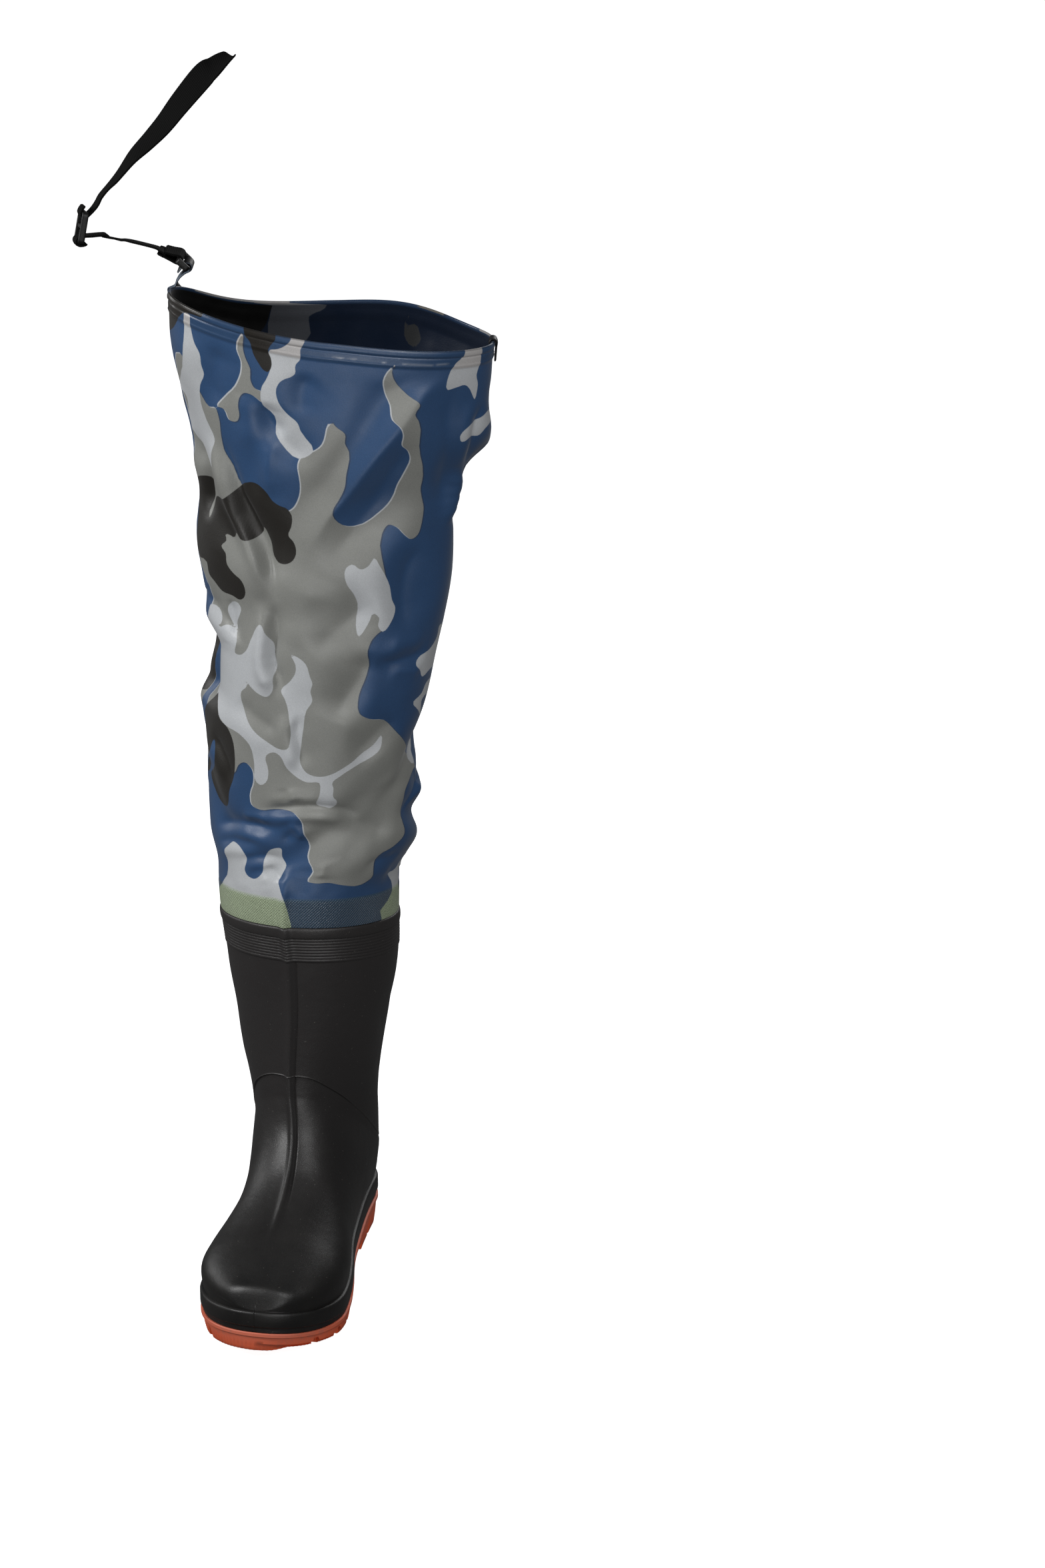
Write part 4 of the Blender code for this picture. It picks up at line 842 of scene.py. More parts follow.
@dataclass
class Boot:
    """Moulded boot: foxing round the foot, front ridge, step over the ankle, ribs and bead."""
    last: Last
    wall: float = 0.0026
    ridge: float = 0.0030
    ridge_turn: float = 0.0172
    ridge_fade: tuple = (3.6, 6.4)
    groove: float = 0.0008
    ankle_step: float = 0.0010
    ankle_lip: float = 0.0005
    side_fade: float = 0.7
    ankle_row: float = 14.7
    ankle_reach: float = 1.6
    step_half: float = 0.035
    panel_fade: tuple = (15.4, 20.0)
    ribs: int = 8
    rib: float = 0.0005
    rib_base: float = 0.0002
    bead_proud: float = 0.0015
    foxing_proud: float = 0.0026
    foxing_foot: float = 0.0045
    leg_wall: float = 0.0010
    medial_drop: float = 0.30
    dents: tuple = ((17.0, 0.64, 1.7, 0.17, 0.0050), (19.0, 0.50, 0.9, 0.15, 0.0028),
                    (18.6, -0.42, 1.2, 0.12, 0.0016))
    pieces: list = field(default_factory=list)

    @property
    def rib_share(self) -> float:
        """Share of the band under the rim that has ribs."""
        return self.last.rib_band / (self.last.rib_band + self.last.bead)

    def columns(self) -> Array:
        """Places round a section: a fine step at the front ridge that widens to the sides."""
        near = np.linspace(0, 0.06, 19)
        far = 0.06 + 0.94 * np.linspace(0, 1, 62)[1:] ** 1.25
        half = np.concatenate([near, far])
        return np.concatenate([-half[::-1], half[1:]])

    def rows(self, stations: Array) -> Array:
        """Rows up the boot: along the foot, over the ankle, up the shaft, ribs and bead."""
        fine = np.linspace(0, CORNER_ROW, 80 * CORNER_ROW + 1)
        back = smooth(np.arange(len(SECTIONS), dtype=float), column(SECTIONS, "back"), fine)
        foot = np.interp(-stations, -np.minimum.accumulate(back), fine)
        foot[0], foot[-1] = 0.0, CORNER_ROW
        step = self.ankle_row + np.linspace(-0.16, 0.16, 13)
        ankle = np.concatenate([np.linspace(13.12, 14.5, 12), step, np.linspace(14.95, 16.0, 9)])
        shaft = np.linspace(16.15, RIBS_ROW - 0.05, 34)
        ribs = RIBS_ROW + np.linspace(0, self.rib_share, 6 * self.ribs + 1)
        bead = RIBS_ROW + self.rib_share + (1 - self.rib_share) * np.linspace(0.08, 1.0 - 1e-4, 11)
        return np.concatenate([foot, ankle, shaft, ribs, bead])

    def warp(self, rows: Array, turns: Array) -> Array:
        """Bend the rows round the ankle so that one follows the step over it."""
        line = smooth(column(ANKLE_LINE, "turn"), column(ANKLE_LINE, "row"), 1 - np.abs(turns))
        line = line - self.medial_drop * (turns > 0) * bell((turns - 0.22) / 0.10)
        pull = np.clip(1 - np.abs(rows - self.ankle_row) / self.ankle_reach, 0, 1)
        pull = np.where(rows > CORNER_ROW, pull, 0.0)
        return rows + pull * (line - self.ankle_row)

    def ridge_height(self, turns: Array) -> Array:
        """Height of the front ridge, a bell curve across the front line."""
        return self.ridge * bell(turns / self.ridge_turn)

    def relief(self, rows: Array, turns: Array) -> Array:
        """How far the wall stands proud: ridge and its seam, ankle panel, ribs and bead.

        The ridge is a bell across the front, the seam a narrow bell beside it, the panel a ramp that fades
        up the shaft with a small lip at its foot, lower at the sides. The ribs are rounded waves and the
        bead is a half round.
        The dents of the shaft are bells both ways.
        """
        fade = ease((rows - self.ridge_fade[0]) / (self.ridge_fade[1] - self.ridge_fade[0]))
        seam = bell((turns - 1.7 * self.ridge_turn) / (0.20 * self.ridge_turn))
        seam *= ease((rows - 5.0) / 2.0) * (rows < RIBS_ROW)
        step = ease((rows - self.ankle_row) / (2 * self.step_half) + 0.5)
        fall = 1 - ease((rows - self.panel_fade[0]) / (self.panel_fade[1] - self.panel_fade[0]))
        lip = bell((rows - self.ankle_row - 0.05) / 0.045)
        front = 1 - self.side_fade * ease((np.abs(turns) - 0.24) / 0.10)
        place = (rows - RIBS_ROW) / self.rib_share
        wave = np.abs(np.sin(math.pi * self.ribs * np.clip(place, 0, 1))) ** 0.7
        ribs = np.where((place > 0) & (place <= 1), self.rib_base + self.rib * wave, 0.0)
        high = np.clip((place - 1) * self.rib_share / (1 - self.rib_share), 0, 1)
        bead = np.where(place > 1, self.bead_proud * (4 * high * (1 - high)) ** 0.28, 0.0)
        dent = sum(deep * bell((rows - row) / tall) * bell((turns - turn) / wide)
                   for row, turn, tall, wide, deep in self.dents)
        return (fade * self.ridge_height(turns) - self.groove * seam + self.ankle_step * front * step * fall
                + self.ankle_lip * front * lip + ribs + bead - dent * (rows < RIBS_ROW))

    def neck(self, turns: Array, grow: float, levels: Array) -> Array:
        """Rings from the rim to the top of the weld neck, moved out by `grow` from the boot's face."""
        rows, cols = np.meshgrid(RIM_ROW + levels, turns, indexing="ij")
        points = self.last.surface(rows, cols)
        flat = unit(self.normals(points) * (1.0, 1.0, 0.0))
        return points + flat * (grow + self.ridge_height(cols))[..., None]

    def normals(self, points: Array) -> Array:
        """Outward normals of a grid that is closed only where its two edge columns meet."""
        climb = np.gradient(points, axis=0)
        along = np.gradient(points, axis=1)
        closed = np.linalg.norm(points[:, 0] - points[:, -1], axis=-1) < 1e-6
        wrap = 0.5 * (points[:, 1] - points[:, -2])
        along[closed, 0] = wrap[closed]
        along[closed, -1] = wrap[closed]
        return unit(np.cross(along, climb))

    def foxing_profile(self) -> tuple:
        """Steps of the foxing from its top to the sole: how proud and how high each is."""
        top, proud, foot = self.last.foxing, self.foxing_proud, self.foxing_foot
        return ((-0.0003, top - 0.0002), (-0.0002, top - 0.0007), (0.0009, top - 0.0009),
                (0.0018, top - 0.0013), (proud - 0.0003, top - 0.0021), (proud, top - 0.0032),
                (proud, 0.5 * (top + foot)), (proud, foot + 0.0016), (proud - 0.0003, foot + 0.0009),
                (proud - 0.0009, foot + 0.0003), (0.0011, foot), (0.0009, foot - 0.0010),
                (0.0010, 0.5 * foot), (0.0010, 0.0))

    def build(self, finish: BootRubber) -> None:
        """Build the upper: outer and inner faces joined at the neck and under the foot."""
        stations = self.last.stations(26, 34, 34)
        turns = self.columns()
        rows, cols = np.meshgrid(self.rows(stations), turns, indexing="ij")
        base = self.last.surface(self.warp(rows, cols), cols)
        normal = self.normals(base)
        normal[0] = (0.0, -1.0, 0.0)
        outer = base + normal * self.relief(rows, cols)[..., None] * (rows > 1e-6)[..., None]
        inner = base - normal * self.wall
        closed = rows[:, 0] >= CORNER_ROW - 1e-6
        low = rows[:, 0] < CORNER_ROW
        for face in (outer, inner):
            face[closed, -1] = face[closed, 0]
            face[0] = face[0].mean(axis=0)
        for edge in (0, -1):
            inner[low, edge, 2] = base[low, edge, 2]
        thin = -(self.leg_wall + self.last.clearance)
        neck = self.neck(turns, thin, np.linspace(0, 1, 5))
        neck_inner = self.neck(turns, -self.wall, np.linspace(0.25, 1, 4))
        for face in (neck, neck_inner):
            face[:, -1] = face[:, 0]
        outer = np.concatenate([outer, neck])
        inner = np.concatenate([inner, neck_inner])
        shell = Shell()
        shell.add(outer)
        shell.add(inner, flip=True)
        shell.add(np.stack([outer[-1], inner[-1]]))
        corner = int(np.argmax(closed))
        foot = self.last.seat(stations) + self.last.clearance
        loops = [np.concatenate([outer[:corner + 1, 0], outer[corner - 1::-1, -1]])]
        loops += [self.last.outline(stations, grow, foot + rise) for grow, rise in self.foxing_profile()]
        inside = self.last.outline(stations, -self.wall, foot)
        inner_loop = np.concatenate([inner[:corner + 1, 0], inner[corner - 1::-1, -1]])
        shell.add(np.stack(loops))
        shell.add(np.stack([loops[-1], inside, inner_loop]))
        upper = shell.build("boot_upper", finish.make("boot_rubber"), 50.0)
        stand_for(upper, "upper", self.pieces)


@dataclass
class Sole:
    """Red-brown sole and heel: lip, stepped side, serrated toe edge, cross lugs and a middle channel."""
    last: Last
    lip: float = 0.0024
    lip_height: float = 0.0035
    tuck: float = 0.010
    side_step: float = 0.0012
    taper: float = 0.0022
    lug: float = 0.006
    groove: float = 0.006
    slope: float = 0.0012
    tooth_pitch: float = 0.00375
    tooth: float = 0.0005
    rows_of_lugs: tuple = ((0.0, 0.290, 3), (0.430, 1.0, 6))
    pieces: list = field(default_factory=list)

    def edges(self) -> list:
        """Start and end of each lug, as shares of the last."""
        gap = self.groove / self.last.length
        spans = []
        for start, end, count in self.rows_of_lugs:
            pitch = (end - start + gap) / count
            spans += [(start + i * pitch, start + (i + 1) * pitch - gap) for i in range(count)]
        return spans

    def ground(self, along: Array) -> Array:
        """Height of the underside: lugs with sloped sides, lifted by the toe spring."""
        slope = self.slope / self.last.length
        places, depth = [], []
        for start, end in self.edges():
            places += [start - slope, start, end, end + slope]
            depth += [self.lug, 0.0, 0.0, self.lug]
        return np.interp(along, places, depth) + self.last.spring(along)

    def build(self, finish: SoleRubber) -> None:
        """Build the sole: loops down its side, then rows across its top and its underside."""
        slope = self.slope / self.last.length
        marks = [v for start, end in self.edges() for v in
                 (start - slope, start, start + 0.3 * slope, end - 0.3 * slope, end, end + slope)]
        along = np.concatenate([self.last.stations(110, 150, 40), np.clip(marks, 0, 1)])
        along = np.unique(np.round(along, 7))
        ground, top = self.ground(along), self.last.seat(along)
        mid = 0.5 * (top - self.lip_height + ground)
        walk = walked(self.last.outline(along, 0.0, top)[:, None])[:, 0]
        count = len(along)
        toe = ease((np.concatenate([along, along[-2::-1]]) - 0.40) / 0.12)
        tooth = self.tooth * (0.5 + 0.5 * np.cos(2 * math.pi * walk / self.tooth_pitch)) * toe
        step = self.lip - self.side_step
        profile = ((self.lip - 0.0006, top, 0.0), (self.lip, top - 0.0005, 0.0),
                   (self.lip, top - self.lip_height + 0.0004, 0.0),
                   (self.lip - 0.0004, top - self.lip_height, 0.0),
                   (step + 0.0001, top - self.lip_height - 0.0004, 0.0),
                   (step, top - self.lip_height - 0.5 * self.side_step, 0.0),
                   (step - 0.2 * self.taper, 0.5 * (top - self.lip_height + mid), 0.0),
                   (step - 0.4 * self.taper, mid + 0.0004, 0.0), (step - 0.4 * self.taper, mid, 0.4),
                   (step - 0.7 * self.taper, 0.5 * (mid + ground), 0.9),
                   (step - self.taper, ground + 0.0007, 1.0), (step - self.taper - 0.0007, ground, 0.8))
        tuck = self.tuck * ease((along - 0.70) / 0.22) * ease((1.005 - along) / 0.03)
        tuck = np.concatenate([0 * along, tuck[-2::-1]])
        loops = []
        for grow, height, teeth in profile:
            loop = self.last.outline(along, grow, height)
            inward = np.array([self.last.plan_x(np.array([0.55]), 0.0)[0],
                               self.last.plan_y(0.55), 0.0]) - loop
            inward[:, 2] = 0.0
            loops.append(loop + unit(inward) * (teeth * (tooth + tuck))[:, None])
        lateral = np.arange(count)
        medial = 2 * count - 2 - lateral
        across = np.linspace(0, 1, 25)[:, None, None]
        under = loops[-1][lateral] * (1 - across) + loops[-1][medial] * across
        wide = np.linalg.norm(loops[-1][lateral] - loops[-1][medial], axis=-1)
        wave = 0.004 * np.sin(2 * math.pi * along / 0.11)
        middle = np.abs((across[..., 0] - 0.5) * wide - wave)
        channel = ease((0.0052 - middle) / 0.0012) * ease((wide - 0.03) / 0.02)
        under[..., 2] += channel * (self.lug - (under[..., 2] - self.last.spring(along))).clip(0) * 0.9
        cover = loops[0][lateral] * (1 - across) + loops[0][medial] * across
        shell = Shell()
        shell.add(np.stack(loops), flip=True)
        shell.add(cover)
        shell.add(under, flip=True)
        sole = shell.build("boot_sole", finish.make("sole_rubber"), 42.0)
        stand_for(sole, "outsole", self.pieces)


@dataclass
class Insole:
    """Loose footbed inside the boot, crowned at its edge."""
    last: Last
    thickness: float = 0.004
    inset: float = 0.0038
    pieces: list = field(default_factory=list)

    def build(self, finish: Footbed) -> None:
        """Build the footbed: loops round its rounded edge, then rows across both faces."""
        along = self.last.stations(24, 30, 16)[::-1]
        low = self.last.seat(along) + self.last.clearance
        profile = ((0.0010, 0.0), (0.0003, 0.0003), (0.0, 0.3), (0.0, 0.7), (0.0005, 0.95), (0.0015, 1.0))
        loops = [self.last.outline(along, -(self.inset + cut), low + self.thickness * rise)
                 for cut, rise in profile]
        lateral = np.arange(len(along))
        medial = 2 * len(along) - 2 - lateral
        across = np.linspace(0, 1, 13)[:, None, None]
        shell = Shell()
        shell.add(np.stack(loops))
        for loop, flip in ((loops[0], True), (loops[-1], False)):
            shell.add(loop[lateral] * (1 - across) + loop[medial] * across, flip=flip)
        bed = shell.build("footbed", finish.make("footbed_knit"))
        stand_for(bed, "insole", self.pieces)


class Ink(Enum):
    """Layers of the leg's print."""
    GREY = "grey"
    LIGHT = "light"
    BLACK = "black"


class Blob(NamedTuple):
    """One patch of the print: its layer and its outline in thousandths of a turn and of the rise."""
    ink: Ink
    outline: tuple


class Crease(NamedTuple):
    """A crease: width and depth in metres, share of the ridge beside it, and its line.

    A negative depth is a trough, a positive one a ridge. The line is in thousandths of a turn and rise.
    """
    width: float
    depth: float
    beside: float
    line: tuple


PRINT = (
    Blob(Ink.GREY, (500, 872, 504, 862, 512, 851, 513, 835, 519, 821, 523, 779, 524, 763, 519, 738, 514,
        722, 514, 711, 528, 694, 543, 693, 578, 718, 593, 738, 596, 766, 597, 790, 593, 813, 583, 829,
        572, 840, 570, 858, 566, 871, 557, 883, 555, 906, 549, 928, 547, 947, 551, 964, 560, 978, 556,
        966, 558, 952, 574, 926, 588, 912, 582, 894, 587, 883, 595, 838, 627, 784, 636, 754, 645, 729,
        642, 698, 634, 676, 624, 670, 612, 679, 601, 693, 590, 697, 581, 683, 584, 619, 596, 571, 605,
        549, 599, 525, 577, 495, 573, 474, 581, 447, 580, 427, 574, 394, 579, 363, 597, 351, 626, 343,
        655, 316, 693, 284, 733, 254, 772, 220, 734, 209, 711, 192, 709, 169, 700, 147, 700, 118, 678,
        100, 650, 89, 650, 65, 656, 40, 641, 27, 601, 32, 575, 40, 556, 39, 540, 44, 542, 70, 528, 99,
        530, 118, 519, 144, 514, 170, 504, 180, 494, 182, 470, 180, 450, 176, 435, 182, 432, 199, 438,
        225, 434, 246, 420, 254, 409, 245, 403, 231, 392, 223, 364, 249, 330, 292, 286, 327, 301, 384,
        296, 460, 308, 526, 268, 577, 274, 647, 245, 677, 253, 701, 268, 743, 265, 780, 270, 813, 270,
        847, 267, 870, 317, 919, 336, 904, 341, 866, 354, 844, 366, 847, 369, 833, 367, 807, 366, 778,
        377, 754, 387, 724, 409, 710, 434, 699, 452, 701, 463, 710, 470, 727, 473, 749, 472, 768, 470,
        791, 474, 805, 486, 817, 493, 829, 495, 839, 497, 859)),
    Blob(Ink.GREY, (424, 995, 417, 980, 415, 963, 420, 944, 418, 924, 408, 900, 386, 873, 369, 850, 381,
        851, 387, 835, 400, 839, 405, 851, 406, 866, 412, 884, 419, 892, 429, 891, 439, 882, 444, 902,
        433, 905, 430, 917, 431, 936, 426, 952, 423, 967)),
    Blob(Ink.LIGHT, (331, 990, 341, 993, 345, 969, 351, 951, 360, 935, 359, 916, 359, 900, 345, 877,
        335, 846, 338, 817, 350, 789, 341, 765, 332, 735, 313, 749, 268, 780, 270, 810, 283, 838, 260,
        847, 313, 896, 329, 945)),
    Blob(Ink.LIGHT, (470, 1030, 482, 1030, 478, 1030, 475, 1030, 490, 1030, 479, 986, 479, 969, 475,
        959, 475, 944, 461, 928, 456, 914, 455, 893, 461, 873, 470, 861, 472, 848, 485, 817, 470, 799,
        450, 818, 443, 832, 445, 862, 436, 878, 440, 910, 447, 927, 452, 949, 450, 976, 458, 980, 469,
        995, 473, 1030)),
    Blob(Ink.LIGHT, (677, 1030, 748, 1030, 692, 1030, 683, 993, 681, 973, 676, 955, 682, 938, 676, 912,
        664, 931, 653, 941, 636, 938, 623, 935, 624, 961, 633, 981, 645, 992, 657, 1030)),
    Blob(Ink.LIGHT, (745, 877, 721, 884, 694, 876, 658, 864, 652, 852, 658, 841, 671, 846, 697, 845,
        709, 857, 745, 873)),
    Blob(Ink.LIGHT, (568, 643, 574, 631, 582, 615, 592, 591, 598, 566, 605, 550, 599, 527, 588, 510,
        581, 521, 581, 536, 572, 543, 570, 533, 565, 517, 556, 501, 551, 521, 551, 559, 544, 577, 534,
        594, 532, 621, 540, 629, 551, 621, 561, 628)),
    Blob(Ink.BLACK, (263, 1030, 318, 1030, 395, 1030, 386, 1030, 378, 1030, 372, 1030, 366, 996, 356,
        995, 331, 990, 312, 971, 296, 954, 263, 940)),
    Blob(Ink.BLACK, (415, 1030, 420, 1030, 424, 989, 429, 983, 433, 964, 439, 950, 445, 940, 449, 939,
        452, 946, 452, 962, 449, 973, 450, 980, 456, 995, 458, 1030, 465, 1030, 470, 1030, 473, 1030,
        463, 1030)),
    Blob(Ink.BLACK, (404, 737, 417, 738, 429, 730, 436, 718, 445, 712, 455, 709, 461, 698, 460, 678,
        456, 662, 463, 654, 467, 639, 463, 622, 454, 613, 442, 612, 433, 621, 428, 643, 416, 662, 413,
        653, 406, 643, 395, 635, 384, 636, 377, 643, 371, 631, 364, 632, 353, 631, 358, 623, 350, 610,
        360, 602, 364, 585, 376, 574, 390, 566, 394, 553, 389, 536, 379, 528, 367, 531, 344, 531, 330,
        542, 316, 552, 314, 570, 270, 570, 265, 590, 245, 677, 274, 703, 303, 707, 309, 689, 303, 652,
        312, 642, 313, 657, 326, 684, 352, 692, 371, 706, 383, 719, 394, 731)),
    Blob(Ink.LIGHT, (360, 517, 374, 521, 379, 514, 375, 498, 368, 484, 372, 472, 359, 482, 349, 496,
        352, 509)),
    Blob(Ink.LIGHT, (295, 491, 323, 493, 331, 488, 338, 477, 336, 470, 327, 472, 336, 467, 352, 476,
        370, 472, 379, 456, 378, 436, 390, 437, 398, 446, 405, 469, 412, 489, 421, 500, 428, 487, 439,
        472, 443, 450, 448, 436, 446, 415, 449, 392, 442, 379, 426, 381, 413, 389, 403, 398, 407, 388,
        397, 374, 399, 357, 410, 335, 427, 316, 448, 303, 476, 293, 485, 297, 486, 308, 479, 347, 468,
        381, 460, 393, 472, 414, 478, 433, 476, 446, 468, 461, 481, 457, 490, 449, 498, 428, 503, 416,
        502, 402, 507, 385, 501, 367, 501, 334, 502, 302, 506, 270, 518, 254, 534, 249, 547, 251, 574,
        268, 593, 283, 614, 300, 626, 316, 625, 294, 612, 279, 588, 266, 567, 250, 556, 238, 559, 228,
        560, 211, 566, 204, 566, 192, 562, 189, 547, 192, 535, 197, 539, 216, 537, 238, 518, 238, 499,
        249, 487, 261, 476, 280, 464, 285, 453, 276, 460, 250, 458, 230, 449, 222, 441, 226, 436, 256,
        425, 289, 404, 303, 370, 307, 334, 329, 303, 353, 289, 439)),
    Blob(Ink.LIGHT, (745, 500, 745, 493, 713, 497, 714, 476, 695, 462, 671, 454, 660, 440, 675, 425,
        686, 411, 710, 415, 750, 422, 743, 450, 745, 490)),
    Blob(Ink.LIGHT, (750, 387, 711, 392, 701, 377, 677, 367, 704, 343, 730, 320, 770, 277, 748, 262,
        736, 253, 765, 224, 763, 250, 770, 277, 730, 320, 714, 344, 707, 362, 745, 373)),
    Blob(Ink.LIGHT, (389, 102, 404, 101, 420, 90, 423, 72, 420, 52, 427, 39, 442, 35, 454, 47, 457, 71,
        457, 91, 467, 108, 484, 112, 485, 95, 494, 79, 491, 61, 488, 43, 498, 16, 507, -15, 512, -90,
        350, -90, 298, -36, 366, 22, 374, 54, 373, 83)),
    Blob(Ink.LIGHT, (703, 35, 736, 38, 741, 48, 758, 60, 760, 67, 780, 30, 738, -90, 687, -34, 712, -18,
        729, -1, 725, 16)),
    Blob(Ink.BLACK, (322, 345, 340, 332, 358, 311, 378, 304, 390, 290, 398, 265, 399, 233, 395, 214,
        387, 191, 379, 166, 368, 157, 342, 158, 318, 171, 290, 191, 351, 226, 351, 248, 340, 270, 334,
        246, 255, 193, 265, 183, 295, 263, 277, 296)),
)

INSIDE_PRINT = (
    Blob(Ink.BLACK, (92, 1040, 120, 1040, 300, 1040, 300, 860, 190, 850, 130, 900, 100, 940)),
    Blob(Ink.BLACK, (92, 1040, 50, 1040, 58, 985, 66, 950, 84, 930, 90, 900, 110, 900)),
    Blob(Ink.LIGHT, (50, 1040, 8, 1040, 6, 990, 20, 975, 18, 945, 30, 920, 52, 925, 62, 950)),
    Blob(Ink.GREY, (-64, 960, -70, 985, -66, 930, -80, 925, -84, 950, -76, 968)),
    Blob(Ink.GREY, (20, 800, -60, 830, -120, 780, -80, 700, 0, 690, 60, 740)),
    Blob(Ink.BLACK, (-130, 900, -180, 880, -200, 800, -150, 760, -110, 830)),
)

# Lines of glue drops, which also carry a painted highlight: thousandths of a turn and rise at both ends.
GLUE_AND_HIGHLIGHT = (
    (685, 832, 692, 818), (728, 800, 745, 770), (335, 985, 338, 984), (462, 981, 465, 981),
    (505, 981, 509, 980), (516, 981, 518, 981), (545, 980, 548, 980), (566, 980, 600, 979),
    (606, 980, 620, 981),
)

CREASES = (
    Crease(0.03, -0.0075, 0, (275, 470, 278, 425, 278, 375, 275, 310)),
    Crease(0.016, 0.0030, 0, (760, 190, 775, 170, 790, 165)),
    Crease(0.026, 0.0070, 0, (800, 860, 780, 790, 770, 740, 768, 690)),
    Crease(0.024, -0.0034, 0.3, (578, 567, 545, 533, 518, 500, 498, 463)),
    Crease(0.022, -0.0032, 0.3, (578, 480, 570, 437, 555, 390, 542, 347)),
    Crease(0.026, 0.002, 0, (490, 607, 478, 533, 480, 467)),
    Crease(0.024, 0.002, 0, (608, 313, 662, 250, 680, 197)),
    Crease(0.007, -0.0034, 0.9, (358, 813, 372, 767, 382, 733, 388, 703, 400, 673, 418, 640, 432, 607,
        438, 560, 438, 530)),
    Crease(0.006, -0.0036, 0.9, (438, 547, 440, 490, 445, 433, 455, 410, 460, 373)),
    Crease(0.005, -0.0018, 0.8, (380, 717, 388, 677, 405, 643, 425, 607, 432, 570)),
    Crease(0.008, -0.0034, 0.3, (268, 783, 290, 753, 310, 727, 302, 677, 310, 633)),
    Crease(0.008, -0.0016, 0.3, (272, 533, 268, 507, 315, 500, 345, 487, 372, 473, 390, 457, 380, 430)),
    Crease(0.006, -0.0012, 0.4, (352, 523, 360, 507, 368, 483, 380, 463)),
    Crease(0.012, 0.0024, 0.9, (640, 993, 595, 933, 568, 880, 548, 820, 540, 787, 528, 747, 508, 707,
        490, 663, 468, 610)),
    Crease(0.022, -0.0034, 0.4, (598, 873, 582, 813, 572, 750, 548, 697, 522, 647, 505, 607)),
    Crease(0.009, -0.0036, 0.7, (730, 797, 753, 757, 748, 720, 750, 683)),
    Crease(0.006, -0.0016, 0.7, (705, 907, 682, 863, 700, 820, 742, 777)),
    Crease(0.014, -0.002, 0.5, (642, 963, 628, 870, 680, 767, 692, 680)),
    Crease(0.01, -0.002, 0.6, (442, 890, 440, 863, 445, 847, 458, 833)),
    Crease(0.012, -0.0022, 0.6, (425, 873, 442, 837, 465, 810, 485, 790)),
    Crease(0.008, 0.0016, 0.6, (450, 833, 435, 787, 432, 753, 438, 720)),
    Crease(0.014, -0.002, 0.5, (392, 980, 385, 933, 370, 883, 365, 840)),
    Crease(0.012, -0.0018, 0.5, (490, 950, 482, 927, 478, 903, 478, 870)),
    Crease(0.014, -0.0024, 0.5, (648, 667, 620, 623, 615, 563, 630, 503)),
    Crease(0.009, -0.0026, 0.8, (682, 460, 642, 453, 612, 450, 585, 457)),
    Crease(0.008, 0.002, 0.6, (680, 427, 640, 433, 610, 440)),
    Crease(0.016, -0.0022, 0.4, (650, 347, 618, 323, 595, 297, 572, 280)),
    Crease(0.006, -0.0034, 0.9, (490, 360, 492, 327, 503, 297, 515, 260)),
    Crease(0.005, -0.003, 1.1, (432, 177, 460, 180, 488, 187, 512, 193, 540, 193, 568, 187, 598, 177,
        620, 167)),
    Crease(0.008, 0.002, 0.4, (452, 197, 500, 207, 550, 207)),
    Crease(0.0045, 0.0018, 0.6, (498, 227, 500, 213, 503, 200)),
    Crease(0.007, -0.0032, 0.9, (330, 113, 400, 140, 448, 147, 490, 147)),
    Crease(0.006, 0.0022, 0.6, (410, 157, 442, 163, 470, 160)),
    Crease(0.006, -0.0024, 0.9, (338, 83, 390, 107, 430, 113, 462, 117)),
    Crease(0.006, -0.0022, 0.8, (408, 70, 442, 90, 473, 93, 495, 83)),
    Crease(0.006, 0.0024, 0.7, (492, 160, 508, 150, 518, 130)),
    Crease(0.007, -0.002, 0.6, (458, 77, 478, 60, 492, 37)),
    Crease(0.009, -0.0022, 0.7, (618, 77, 655, 80, 712, 73)),
    Crease(0.008, 0.0016, 0.6, (548, 93, 555, 73, 555, 50)),
    Crease(0.014, -0.0022, 0.5, (562, 167, 615, 153, 675, 127)),
    Crease(0.008, -0.0032, 0.7, (763, 57, 780, 30, 755, 20)),
    Crease(0.009, -0.0024, 0.6, (390, 363, 415, 343, 442, 330, 470, 317)),
    Crease(0.007, -0.0026, 0.7, (330, 283, 360, 263, 382, 237, 390, 197)),
)


